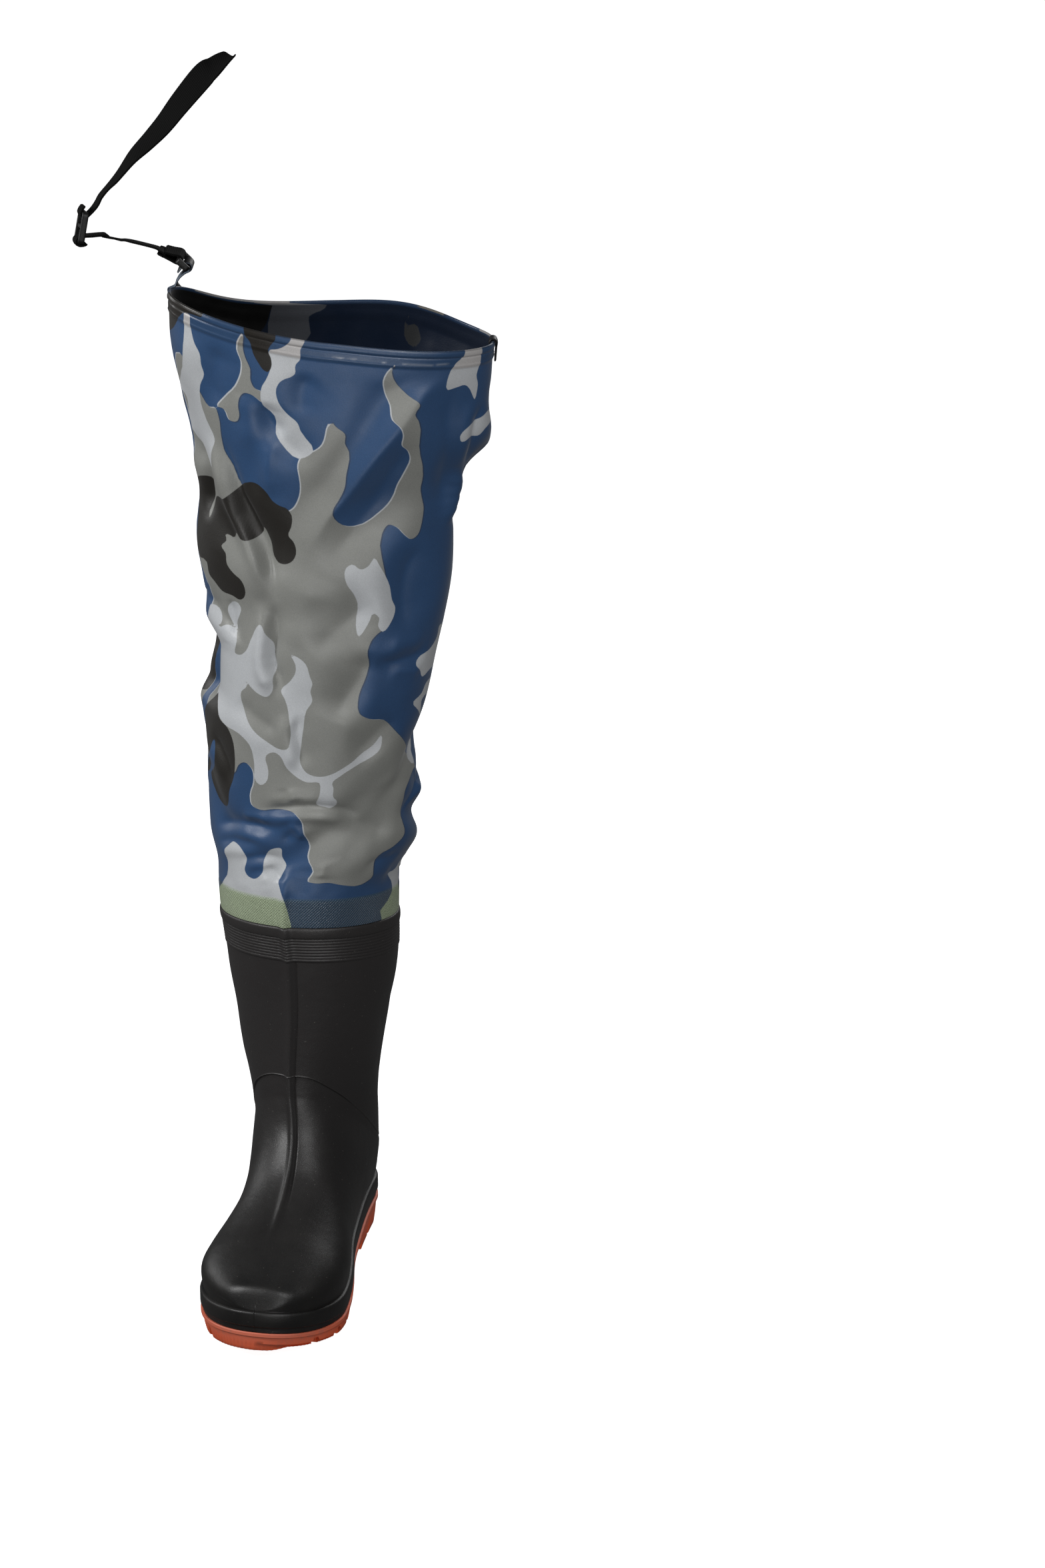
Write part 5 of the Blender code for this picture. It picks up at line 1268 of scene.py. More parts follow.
@dataclass
class Leg:
    """Printed cloth tube: weld band, body with its folds, and a rolled and welded hem."""
    boot: Boot
    wall: float = 0.0010
    collar_height: float = 0.813
    collar_width: float = 0.258
    collar_depth: float = 0.122
    collar_turn: float = math.radians(13.0)
    lateral_rise: float = 0.020
    front_drop: float = 0.001
    corner_rise: float = 0.004
    foot_ease: float = 0.10
    hem: float = 0.0135
    hem_roll: float = 0.0042
    hem_proud: float = 0.0007
    back_wave: float = 0.011
    glue_wide: float = 0.0008
    seam: float = 0.265
    seam_wide: float = 0.003
    seam_proud: float = 0.0006
    glue_proud: float = 0.0003
    back_creases: int = 48
    back_depth: float = 0.36
    waves: float = 0.00013
    pleat: float = 0.0007
    columns: int = 264
    seed: int = 7
    gain: float = 1.9
    small_gain: float = 1.15
    pieces: list = field(default_factory=list)

    @property
    def foot(self) -> float:
        """Height of the weld band's top."""
        return self.boot.last.rim + self.boot.last.weld

    @property
    def height(self) -> float:
        """Height from the weld band to the collar."""
        return self.collar_height - self.foot

    def edge(self, turns: Array) -> Array:
        """Height of the collar's edge, turning from the back by the lateral side and the front."""
        angle = 2 * math.pi * turns
        behind = (turns + 0.5) % 1.0
        wave = bell((behind - 0.44) / 0.075) - 0.5 * bell((behind - 0.60) / 0.07)
        return (self.collar_height + self.lateral_rise * np.sin(angle) + self.front_drop * np.cos(angle)
                - self.corner_rise * np.cos(2 * angle) + self.back_wave * wave)

    def free(self, rises: Array, turns: Array) -> Array:
        """Outer face of the leg above the weld band, without creases.

        A ring is a superellipse whose wide axis turns with the rise. A few broad folds press it inwards by
        a bell curve across and along their line.

        Args:
            rises: shares of the way up from the weld band to the collar.
            turns: 0 at the back, 0.25 lateral, 0.5 in front, 0.75 medial.

        Returns:
            Points of the same shape.
        """
        knots = column(RINGS, "rise")
        deep_at, wide_at, across, back, turned, square = (
            smooth(knots, column(RINGS, name), rises)
            for name in ("half_deep", "half_wide", "across", "deep", "turn", "square"))
        angle = 2 * math.pi * turns
        cos, sin = np.cos(angle), np.sin(angle)
        deep = deep_at * self.collar_depth * np.sign(cos) * np.abs(cos) ** (2 / square)
        wide = wide_at * self.collar_width * np.sign(sin) * np.abs(sin) ** (2 / square)
        press = np.zeros_like(rises)
        for fold in FOLDS:
            around = (turns - fold.turn + 0.5) % 1.0 - 0.5
            line = rises - fold.rise - fold.lean * around
            press += fold.depth * self.collar_depth * bell(line / fold.wide) * bell(around / fold.long)
        shrink = 1 - press / np.maximum(np.sqrt(deep ** 2 + wide ** 2), 1e-6)
        turn = self.collar_turn * turned
        x = across * self.collar_width + shrink * (-wide * np.cos(turn) - deep * np.sin(turn))
        y = back * self.collar_depth + shrink * (deep * np.cos(turn) - wide * np.sin(turn))
        return np.stack([x, y, self.foot + rises * (self.edge(turns) - self.foot)], axis=-1)

    def face(self, rises: Array, turns: Array) -> Array:
        """Rings of the leg with its foot eased into the boot's rim.

        Args:
            rises: rise of each ring, 0 or more.
            turns: turns of the columns.

        Returns:
            A grid of points.
        """
        rows, cols = np.meshgrid(rises, turns, indexing="ij")
        free = self.free(rows, cols)
        band = self.boot.neck(2 * turns - 1, 0.0, np.array([0.0, 0.5, 1.0]))[-1]
        lifted = np.broadcast_to(band, free.shape).copy()
        lifted[..., 2] += rows * (self.edge(cols) - band[None, :, 2])
        return lifted + ease(rows / self.foot_ease)[..., None] * (free - lifted)

    def turns(self) -> Array:
        """Turns of the columns, evenly spaced along the ring at mid height."""
        fine = np.linspace(0, 1, 721)
        ring = self.free(np.full_like(fine, 0.6), fine)
        step = np.linalg.norm(np.diff(ring[:, :2], axis=0), axis=-1)
        walk = np.concatenate([[0.0], np.cumsum(0.6 * step / step.sum() + 0.4 / 720)])
        return np.interp(np.linspace(0, walk[-1], self.columns + 1), walk, fine)

    def flat(self, turns: Array, rises: Array) -> Array:
        """Unroll the leg: metres round from the front line and metres up from the weld band.

        Args:
            turns: turns of the points.
            rises: rises of the points; below 0 is the weld band.

        Returns:
            Two coordinates a point, read from a coarse table of the rings' lengths.
        """
        across, up = np.linspace(0, 1, 241), np.linspace(0, 1, 41)
        rings = self.face(up, across)
        step = np.linalg.norm(np.diff(rings[..., :2], axis=1), axis=-1)
        walk = np.concatenate([np.zeros((len(up), 1)), np.cumsum(step, axis=1)], axis=1)
        walk -= walk[:, 120:121]
        u = np.clip(turns, 0, 1) * 240
        v = np.clip(rises, 0, 1) * 40
        i, j = np.minimum(v.astype(int), 39), np.minimum(u.astype(int), 239)
        s, t = u - j, v - i
        value = ((walk[i, j] * (1 - s) + walk[i, j + 1] * s) * (1 - t)
                 + (walk[i + 1, j] * (1 - s) + walk[i + 1, j + 1] * s) * t)
        return np.stack([value, rises * self.height], axis=-1)

    def front_half(self, turns: Array, rises: Array) -> tuple:
        """Lay the front's print upside down over the back, from side seam to side seam."""
        behind = (turns < self.seam) | (turns > self.seam + 0.5)
        mirrored = (2 * self.seam - turns) % 1.0
        return np.where(behind, mirrored, turns), np.where(behind, (1.03 - rises) % 1.04, rises)

    def distance(self, blobs: tuple, ink: Ink, at: Array, centre: float) -> Array:
        """Signed distance to the edge of one ink, negative inside, in metres.

        Args:
            blobs: patches of the print.
            ink: the layer wanted.
            at: unrolled points.
            centre: turn about which the outlines are unrolled.

        Returns:
            The smallest of the patches' distances; a patch is a closed smooth curve through its outline.
        """
        flat = at.reshape(-1, 2)
        nearest = np.full(len(flat), 0.05)
        for blob in blobs:
            if blob.ink is not ink:
                continue
            marks = pairs(blob.outline)
            marks = self.flat(marks[:, 0] + centre, marks[:, 1])
            looped = np.concatenate([marks[-2:], marks, marks[:3]])
            edge = densify(looped[:, None], 3)[6:-9, 0]
            low, high = edge.min(axis=0) - 0.012, edge.max(axis=0) + 0.012
            near = ((flat > low) & (flat < high)).all(axis=1)
            spots = flat[near]
            best = np.full(len(spots), 1e9)
            inside = np.zeros(len(spots), dtype=bool)
            for a, b in zip(edge, np.roll(edge, -1, axis=0)):
                side = b - a
                along = np.clip(((spots - a) @ side) / max(side @ side, 1e-12), 0, 1)
                gap = spots - a - along[:, None] * side
                best = np.minimum(best, (gap ** 2).sum(axis=1))
                crosses = (a[1] > spots[:, 1]) != (b[1] > spots[:, 1])
                rise = side[1] if abs(side[1]) > 1e-12 else 1e-12
                inside ^= crosses & (spots[:, 0] < a[0] + side[0] * (spots[:, 1] - a[1]) / rise)
            signed = np.sqrt(best) * np.where(inside, -1.0, 1.0)
            nearest[near] = np.minimum(nearest[near], signed)
        return nearest.reshape(at.shape[:-1])

    def glue(self, at: Array) -> Array:
        """Drops of clear glue, raised and glossy and carrying a painted highlight: 1 on a charted line,
        falling off as a bell within `glue_wide`.
        """
        total = np.zeros(at.shape[:-1])
        for line in GLUE_AND_HIGHLIGHT:
            marks = pairs(line)
            start, end = self.flat(marks[:, 0], marks[:, 1])
            side = end - start
            along = np.clip(((at - start) @ side) / (side @ side), 0, 1)
            far = np.linalg.norm(at - start - along[..., None] * side, axis=-1)
            total = np.maximum(total, bell(far / self.glue_wide))
        return total

    def creases(self) -> list:
        """Charted creases of the front and seeded ones for the back, unrolled about the front line."""
        found = []
        for crease in CREASES:
            line = pairs(crease.line)
            gain = self.gain if crease.width > 0.0095 or line[0, 1] > 0.5 else self.small_gain
            found.append((crease._replace(depth=gain * crease.depth), self.flat(line[:, 0], line[:, 1])))
        rng = np.random.default_rng(self.seed)
        for _ in range(self.back_creases):
            turn = rng.uniform(-0.24, 0.24) % 1.0
            rise = rng.uniform(0.04, 0.88)
            start = self.flat(np.array([turn]), np.array([rise]))[0]
            lean = rng.uniform(-0.6, 0.6) + (1.3 if rise < 0.2 else 0.0)
            long = rng.uniform(0.05, 0.15)
            share = np.linspace(-0.5, 0.5, 4)[:, None]
            bow = 0.012 * rng.uniform(-1, 1) * (1 - 4 * share ** 2)
            line = start + share * long * np.array([[math.sin(lean), math.cos(lean)]]) + bow
            width = rng.uniform(0.007, 0.016)
            depth = self.back_depth * width * rng.uniform(0.7, 1.4)
            found.append((Crease(width, -depth, 0.6, ()), line))
        return found

    def press(self, at: Array) -> Array:
        """Height of the creases: a peak across each line with a softer bell of the other sign beside it.

        The peak of a charted crease falls off as an exponential; a seeded one is a bell.

        Args:
            at: unrolled points.

        Returns:
            How far the cloth stands out from the smooth leg, in metres.
        """
        total = np.zeros(at.shape[:-1])
        half = 0.5 * (at[..., 0].max() - at[..., 0].min())
        for crease, line in self.creases():
            line = densify(line[:, None], 4)[:, 0] if len(line) > 2 else line
            walk = walked(line[:, None])[:, 0]
            best = np.full(at.shape[:-1], 1e9)
            signed, place = np.zeros_like(best), np.zeros_like(best)
            for k, (a, b) in enumerate(zip(line[:-1], line[1:])):
                side = b - a
                long = max(float(np.hypot(*side)), 1e-9)
                gap = at - a
                gap[..., 0] = (gap[..., 0] + half) % (2 * half) - half
                along = np.clip((gap @ side) / long ** 2, 0, 1)
                rest = gap - along[..., None] * side
                far = np.hypot(rest[..., 0], rest[..., 1])
                nearer = far < best
                cross = side[0] * gap[..., 1] - side[1] * gap[..., 0]
                best = np.where(nearer, far, best)
                signed = np.where(nearer, np.where(cross < 0, far, -far), signed)
                place = np.where(nearer, walk[k] + along * long, place)
            share = place / max(walk[-1], 1e-9)
            taper = ease(share / 0.3) * ease((1 - share) / 0.3)
            x = signed / crease.width
            crest = np.exp(1.4 * (0.25 - np.sqrt(x ** 2 + 0.0625))) if crease.line else bell(x)
            total += crease.depth * taper * (crest - crease.beside * bell((x - 1.6) / 1.1))
        return total

    def ripple(self, at: Array) -> Array:
        """Faint unevenness of the cloth: a sum of seeded waves, and short pleats above the weld band."""
        rng = np.random.default_rng(self.seed + 1)
        round_leg = at[..., 0].max() - at[..., 0].min()
        total = np.zeros(at.shape[:-1])
        for _ in range(14):
            turns, climb = rng.integers(4, 16), rng.uniform(-70, 70)
            phase = rng.uniform(0, 2 * math.pi)
            total += self.waves * np.sin(2 * math.pi * turns * at[..., 0] / round_leg
                                         + climb * at[..., 1] + phase)
        wave = np.sin(2 * math.pi * 19 * at[..., 0] / round_leg + 3 * np.sin(40 * at[..., 0]))
        return total + self.pleat * wave * np.exp(-np.maximum(at[..., 1], 0) / 0.022)

    def hem_height(self, down: Array) -> Array:
        """Height of the hem by the distance below its edge: roll, groove, flat band and weld line."""
        half = 0.5 * self.hem_roll
        roll = 0.0005 * np.sqrt(np.clip(1 - ((down - half) / half) ** 2, 0, 1))
        groove = -0.0006 * bell((down - self.hem_roll - 0.0006) / 0.0006)
        flat = self.hem_proud * (1 - ease((down - self.hem + 0.0012) / 0.0024))
        weld = 0.0004 * bell((down - self.hem + 0.0022) / 0.0007)
        return roll + groove + flat + weld

    def build(self, finish: PrintedCloth) -> None:
        """Build the leg: band, outer face, rolled edge and inner face, one profile carried round."""
        turns = self.turns()
        low = (self.boot.last.clearance + 0.0002) / self.boot.last.weld
        levels = np.linspace(low, 1.0, 13)
        hem_rise = 1 - (self.hem + 0.004) / self.height
        rises = np.concatenate([np.linspace(0, hem_rise, 258)[1:], np.linspace(hem_rise, 1.0, 26)[1:]])
        band = self.boot.neck(2 * turns - 1, 0.0, levels)
        above = self.face(rises, turns)
        grid = np.concatenate([band, above])
        normal = loop_normals(grid, True)
        all_rises = np.concatenate([(levels - 1) * self.boot.last.weld / self.height, rises])
        rows, cols = np.meshgrid(all_rises, turns, indexing="ij")
        flat = self.flat(cols, rows)
        down = (1 - rows) * self.height
        free = ease(rows * self.height / 0.010) * ease((down - self.hem) / 0.020)
        out = (self.press(flat) + self.ripple(flat)) * free + self.hem_height(down)
        lip = 0.0003 * (rows < 0) * ease((rows * self.height + self.boot.last.weld) / 0.001)
        sides = (cols - self.seam + 0.25) % 0.5 - 0.25
        out = out + self.seam_proud * bell(sides / self.seam_wide) * ease(rows * self.height / 0.010)
        # Glue drops: raised here, glossy, and lightened in the material as a painted highlight.
        glue = self.glue(flat)
        outer = grid + normal * (out + lip + self.glue_proud * glue)[..., None]
        flat_t, flat_r = self.front_half(cols, rows)
        spots = self.flat(flat_t, flat_r)
        grey = self.distance(PRINT, Ink.GREY, spots, 0.0)
        moved = spots + np.array([0.0010, -0.0004])
        navy = self.distance(PRINT, Ink.GREY, moved, 0.0)
        light = self.distance(PRINT, Ink.LIGHT, spots, 0.0)
        black = self.distance(PRINT, Ink.BLACK, spots, 0.0)
        in_rises = np.concatenate([np.linspace(0.02, hem_rise, 44), np.linspace(hem_rise, 1.0, 8)[1:]])
        deepest = (self.press(flat) + self.ripple(flat)) * free
        for axis in (0, 1):
            shifts = [np.roll(deepest, k, axis=axis) for k in (-6, -4, -2, 0, 2, 4, 6)]
            deepest = np.minimum.reduce(shifts)
        in_band = self.boot.neck(2 * turns - 1, -self.wall, np.linspace(low, 1.0, 4))
        pick = np.searchsorted(all_rises, in_rises).clip(0, len(all_rises) - 1)
        in_down = down[pick]
        sunk = deepest[pick] * free[pick] - self.wall - 0.5 * self.hem_height(in_down)
        in_face = grid[pick] + normal[pick] * sunk[..., None]
        inner = np.concatenate([in_band, in_face])
        roll = []
        for angle in np.linspace(0, math.pi, 7)[1:-1]:
            middle, half = 0.5 * (outer[-1] + inner[-1]), 0.5 * (outer[-1] - inner[-1])
            roll.append(middle + half * math.cos(angle) + np.array([0, 0, 0.0012]) * math.sin(angle))
        roll = np.stack(roll)
        for part in (outer, inner, roll):
            part[:, -1] = part[:, 0]
        shell = Shell()
        on_band = ease((0.0006 - rows * self.height) / 0.0012)
        on_hem = ease((self.hem + 0.0006 - down) / 0.0012)
        shell.add(outer, flat, grey=grey, navy=navy, light=light, black=black, band=on_band, hem=on_hem,
                  lining=0.0, glue=glue)
        edge = {"grey": grey[-1:], "navy": navy[-1:], "light": light[-1:], "black": black[-1:]}
        top = np.concatenate([outer[-1:], roll, inner[-1:]])
        top_flat = np.broadcast_to(flat[-1:], (len(top), *flat.shape[1:]))
        # The rolled edge takes half of the painted inside shade.
        shell.add(top, top_flat, band=0.0, hem=1.0, lining=0.5, glue=0.0, **edge)
        in_turn = (turns + 0.5) % 1.0
        in_turn[0], in_turn[-1] = 0.5, 0.5
        in_rows, in_cols = np.meshgrid(np.concatenate([np.linspace(-0.05, 0, 4), all_rises[pick]]), in_turn,
                                       indexing="ij")
        in_flat = self.flat(in_cols, in_rows)
        inks = {ink.value: self.distance(INSIDE_PRINT, ink, in_flat, 0.5) for ink in Ink}
        # The inner face takes the full painted inside shade.
        shell.add(inner, in_flat, flip=True, navy=inks["grey"], band=0.0, hem=0.0, lining=1.0, glue=0.0,
                  **inks)
        shell.add(np.stack([outer[0], inner[0]]), flip=True, navy=1.0, grey=1.0, light=1.0, black=-1.0,
                  band=0.0, hem=0.0, lining=0.0, glue=0.0)
        leg = shell.build("wader_leg", finish.make("printed_cloth"), 60.0)
        stand_for(leg, "leg", self.pieces)


# Belt strap

class Buckle(NamedTuple):
    """A flat buckle of bars: its middle in webbing widths from the tab's foot, lean, bars and gap."""
    out: float
    up: float
    lean: float
    bars: int
    gap: float


STRAP_RING = Buckle(-0.28, 0.86, math.radians(44.6), 2, 0.0060)
SLIDER = Buckle(2.89, 1.94, math.radians(101.7), 3, 0.0080)

# Middle lines of the strips, in webbing widths out from and up from the tab's foot
TAB_RUN = ((0.00, 0.12), (-0.05, 0.24), (-0.14, 0.38), (-0.30, 0.52))
TAB_TAIL = ((-0.18, 0.66), (-0.08, 0.54))
RING_TAIL = ((0.30, 1.23), (0.03, 1.16))
LOWER_RUN = ((0.11, 0.98), (0.29, 1.11), (0.47, 1.22), (0.79, 1.34), (1.23, 1.45), (1.70, 1.50),
             (2.20, 1.60), (2.59, 1.66))
SLIDER_TAIL = ((2.85, 1.39), (2.76, 1.43))
UPPER_TAIL = ((2.78, 2.60), (2.85, 2.54))
UPPER_RUN = ((2.24, 2.90), (1.72, 3.50), (1.22, 4.13), (0.69, 4.65), (0.20, 5.17), (-0.30, 5.80),
             (-0.86, 6.46), (-1.36, 6.90), (-2.14, 7.36))


@dataclass
class Strap:
    """Belt strap: welded tab, ring, short webbing, slider and the wide webbing to the belt."""
    leg: Leg
    tab_turn: float = 0.207
    tab_width: float = 0.020
    tab_thick: float = 0.0016
    tab_lap: float = 0.014
    width: float = 0.025
    thick: float = 0.0015
    bar: float = 0.0032
    margin: float = 0.0012
    buckle_thick: float = 0.003
    rail_more: float = 0.7
    clear: float = 0.0003
    tab_wrap: float = 128.8
    ring_wrap: float = 204.0
    slider_wrap: float = -9.0
    upper_wrap: float = 308.4
    upper_twists: tuple = (2.0, 8.0, 16.0, 24.0, 31.0, 37.0, 42.0, 30.0, -6.0)
    lower_roll: float = math.radians(10.0)
    slider_roll: float = math.radians(12.5)
    slider_tilt: float = math.radians(10.0)
    roll_reach: float = 0.022
    corner_width: float = 0.013
    corner_drop: float = 0.016
    pieces: list = field(default_factory=list)

    @property
    def reach(self) -> float:
        """Half diagonal of a buckle's bar."""
        return 0.5 * math.hypot(self.bar, self.buckle_thick)

    def place(self, line: Array) -> Array:
        """Turn distances out from and up from the tab's foot into points of the strap's own plane."""
        corner = self.leg.free(np.array([1.0]), np.array([self.tab_turn]))[0]
        turn = self.leg.collar_turn
        lateral = np.array([-math.cos(turn), -math.sin(turn), 0.0])
        up = np.array([0.0, 0.0, 1.0])
        return corner + line[..., :1] * lateral + line[..., 1:2] * up

    def across(self) -> Array:
        """Direction of the strap's width at the collar."""
        turn = self.leg.collar_turn
        return np.array([-math.sin(turn), math.cos(turn), 0.0])

    def bar_middle(self, buckle: Buckle, bar: int) -> Array:
        """Middle of one bar of a buckle, in the strap's plane."""
        offset = (bar - 0.5 * (buckle.bars - 1)) * (self.bar + buckle.gap)
        run = np.array([math.cos(buckle.lean), math.sin(buckle.lean)])
        return self.width * np.array([buckle.out, buckle.up]) + offset * run

    def wrap(self, bar: Array, thick: float, middle: float, way: float) -> Array:
        """Half circle of a strip round a bar: `middle` is its far side in degrees, `way` is +1 or -1."""
        angles = np.radians(middle + way * np.linspace(-90.0, 90.0, 9))
        radius = self.reach + self.clear + 0.5 * thick
        return bar + radius * np.stack([np.cos(angles), np.sin(angles)], axis=-1)

    def metres(self, marks: tuple) -> Array:
        """Marks of a strip's line in metres."""
        return self.width * np.array(marks)

    def roll(self, shell: Shell) -> Shell:
        """Roll what is near the slider about its own length and tilt it about the lateral direction.

        The turn is full inside `roll_reach` of the slider's middle and eases to nothing at twice that.
        """
        spot = self.width * np.array([[SLIDER.out, SLIDER.up]])
        way = np.array([[math.cos(SLIDER.lean), math.sin(SLIDER.lean)]])
        origin = self.place(spot)[0]
        turn = self.leg.collar_turn
        lateral = np.array([-math.cos(turn), -math.sin(turn), 0.0])
        axis = self.slider_roll * (self.place(spot + way)[0] - origin) + self.slider_tilt * lateral
        full = float(np.linalg.norm(axis))
        axis = axis / full
        for k, points in enumerate(shell.points):
            arm = points - origin
            far = np.linalg.norm(arm, axis=-1)
            angle = full * ease(2 - far / self.roll_reach)[:, None]
            shell.points[k] = (origin + arm * np.cos(angle) + np.cross(axis, arm) * np.sin(angle)
                               + axis * (arm @ axis)[:, None] * (1 - np.cos(angle)))
        return shell

    def strip(self, middle: Array, normal: Array, thick: float, flat: Array) -> Shell:
        """Close a strip round its middle surface with rounded edges.

        Args:
            middle: grid of the middle surface, rows along it and columns across it.
            normal: unit normals of the front.
            thick: thickness.
            flat: map coordinates of the middle surface.

        Returns:
            A shell whose thickness falls to nothing at its sides as a superellipse of power 4.
        """
        share = np.linspace(-1, 1, middle.shape[1])
        side = (1 - np.clip((np.abs(share) - 0.94) / 0.06, 0, 1) ** 4) ** 0.5
        end = np.ones(len(middle))
        end[0] = end[-1] = 0.0
        for col in (0, -1):
            middle[0, col], middle[-1, col] = middle[1, col], middle[-2, col]
        half = 0.5 * thick * side[None, :, None] * end[:, None, None]
        shell = Shell()
        shell.add(middle + half * normal, flat, side=1.0)
        shell.add(middle - half * normal, flat, flip=True, side=0.0)
        return self.roll(shell)

    def web(self, name: str, line: Array, twists: Array, cut: float, finish: WovenTape) -> None:
        """Strip of webbing along a line in the strap's plane.

        Args:
            name: the piece's name.
            line: points of the line.
            twists: turn of the width about the line at each point, in radians.
            cut: how much longer one edge is than the other at the far end; its sign picks the edge.
            finish: the webbing's finish.
        """
        fine = densify(np.concatenate([line, twists[:, None]], axis=1)[:, None], 9)[:, 0]
        walk = walked(fine[:, None, :2])[:, 0]
        share = np.sin(0.5 * math.pi * np.linspace(-1, 1, 23))
        count = int(walk[-1] / 0.0011)
        part = np.linspace(0, 1, count)
        length = walk[-1] - 0.5 * (abs(cut) + cut * share)
        at = part[:, None] * length[None, :]
        spot = np.stack([np.interp(at, walk, fine[:, i]) for i in range(3)], axis=-1)
        middle = self.place(spot[..., :2])
        along = unit(np.gradient(middle, axis=0))
        across = np.broadcast_to(self.across(), along.shape)
        face = np.cross(along, across)
        twist = spot[..., 2:3]
        turned = across * np.cos(twist) + face * np.sin(twist)
        normal = np.cross(turned, along)
        cup = 0.0004 * (1 - share[None, :, None] ** 2)
        middle = middle + 0.5 * self.width * share[None, :, None] * turned + cup * normal
        flat = np.stack([at, np.broadcast_to(0.5 * self.width * share, at.shape)], axis=-1)
        weave = finish.make(name + "_weave")
        thing = self.strip(middle, normal, self.thick, flat).build(name + "_webbing", weave, 50.0)
        stand_for(thing, name, self.pieces)

    def buckle(self, name: str, buckle: Buckle, finish: Moulded) -> None:
        """Flat frame: a rounded bar carried round a rounded rectangle, and bars between its rails."""
        wide = 0.5 * (self.width + 2 * self.margin + self.bar)
        tall = 0.5 * (buckle.bars - 1) * (self.bar + buckle.gap)
        origin = self.place(self.width * np.array([[buckle.out, buckle.up]]))[0]
        tip = self.place(self.width * np.array([[buckle.out, buckle.up]])
                         + np.array([[math.cos(buckle.lean), math.sin(buckle.lean)]]))[0]
        run, side = tip - origin, self.across()
        thick = np.cross(run, side)
        angle = np.linspace(0, 2 * math.pi, 97)[:-1]
        cos, sin = np.cos(angle), np.sin(angle)
        power = 0.16
        x = wide * np.sign(cos) * np.abs(cos) ** power
        y = tall * np.sign(sin) * np.abs(sin) ** power
        path = origin + x[:, None] * side + y[:, None] * run
        ahead = unit(np.roll(path, -1, axis=0) - np.roll(path, 1, axis=0))
        outwards = np.cross(ahead, thick)
        rail = 1 + self.rail_more * ease((np.abs(x) - 0.5 * self.width - 0.0006) / 0.0008)
        lift = 0.5 * self.buckle_thick * rail[:, None] * thick
        shell = Shell()
        shell.add(tube(path, 0.5 * self.bar * outwards, -lift, True))
        for bar in range(1, buckle.bars - 1):
            offset = (bar - 0.5 * (buckle.bars - 1)) * (self.bar + buckle.gap)
            line = origin + offset * run + np.linspace(-wide, wide, 12)[:, None] * side
            half = np.broadcast_to(0.5 * self.bar * run, line.shape)
            high = np.broadcast_to(0.45 * self.buckle_thick * thick, line.shape)
            shell.add(tube(line, half, high, False))
        thing = self.roll(shell).build("buckle_" + name, finish.make(name + "_plastic"), 35.0)
        stand_for(thing, name, self.pieces)

    def hem_strip(self, turn: float, span: float, downs: Array, count: int) -> tuple:
        """Points of the hem's face and their normals round a place of the collar."""
        ends = self.leg.face(np.array([1.0]), np.array([turn - 0.01, turn + 0.01]))[0]
        speed = np.linalg.norm(ends[1] - ends[0]) / 0.02
        turns = turn + span / speed * np.linspace(-0.5, 0.5, count)
        rises = 1 - downs / self.leg.height
        grid = self.leg.face(rises, turns)
        normal = loop_normals(grid, False)
        return grid, normal

    def tab(self, finish: TabStrip) -> None:
        """Strip welded on the hem, with its end turned round the ring's lower bar."""
        downs = self.tab_lap * np.array([1, 0.66, 0.33, 0])
        face, normal = self.hem_strip(self.tab_turn, self.tab_width, downs, 13)
        clear = self.leg.hem_proud + 2 * self.clear + 0.5 * self.tab_thick + 0.0003
        turned = self.wrap(self.bar_middle(STRAP_RING, 0), self.tab_thick, self.tab_wrap, -1.0)
        line = np.concatenate([self.metres(TAB_RUN), turned, self.metres(TAB_TAIL)])
        spread = np.linspace(-0.5, 0.5, face.shape[1])[None, :, None] * self.tab_width
        free = self.place(line)[:, None, :] - spread * self.across()
        middle = densify(np.concatenate([face + normal * clear, free]), 5)
        facing = unit(np.cross(np.gradient(middle, axis=1), np.gradient(middle, axis=0)))
        flat = np.zeros((*middle.shape[:2], 2))
        cloth = finish.make("tab_strip")
        thing = self.strip(middle, facing, self.tab_thick, flat).build("hem_tab", cloth, 50.0)
        stand_for(thing, "strap_tab", self.pieces)

    def corner(self, finish: Moulded) -> None:
        """Strip folded over the collar's medial corner."""
        downs = self.corner_drop * np.array([1.0, 0.75, 0.5, 0.25, 0.0])
        face, normal = self.hem_strip(0.75, self.corner_width, downs, 15)
        clear = self.clear + 0.5 * self.tab_thick
        outside = face + normal * (self.leg.hem_proud + 0.0005 + clear)
        inside = face - normal * (self.leg.wall + 0.5 * self.leg.hem_proud + clear + 2 * self.clear)
        up = np.array([0.0, 0.0, 1.0])
        lift = (clear + 0.0012)
        bridge = np.stack([0.75 * outside[-1] + 0.25 * inside[-1] + up * lift,
                           0.25 * outside[-1] + 0.75 * inside[-1] + up * lift])
        middle = densify(np.concatenate([outside, bridge, inside[::-1]]), 4)
        facing = unit(np.cross(np.gradient(middle, axis=1), np.gradient(middle, axis=0)))
        flat = np.zeros((*middle.shape[:2], 2))
        coat = finish.make("tab_black")
        thing = self.strip(middle, facing, self.tab_thick, flat).build("collar_corner", coat, 50.0)
        stand_for(thing, "corner_tab", self.pieces)

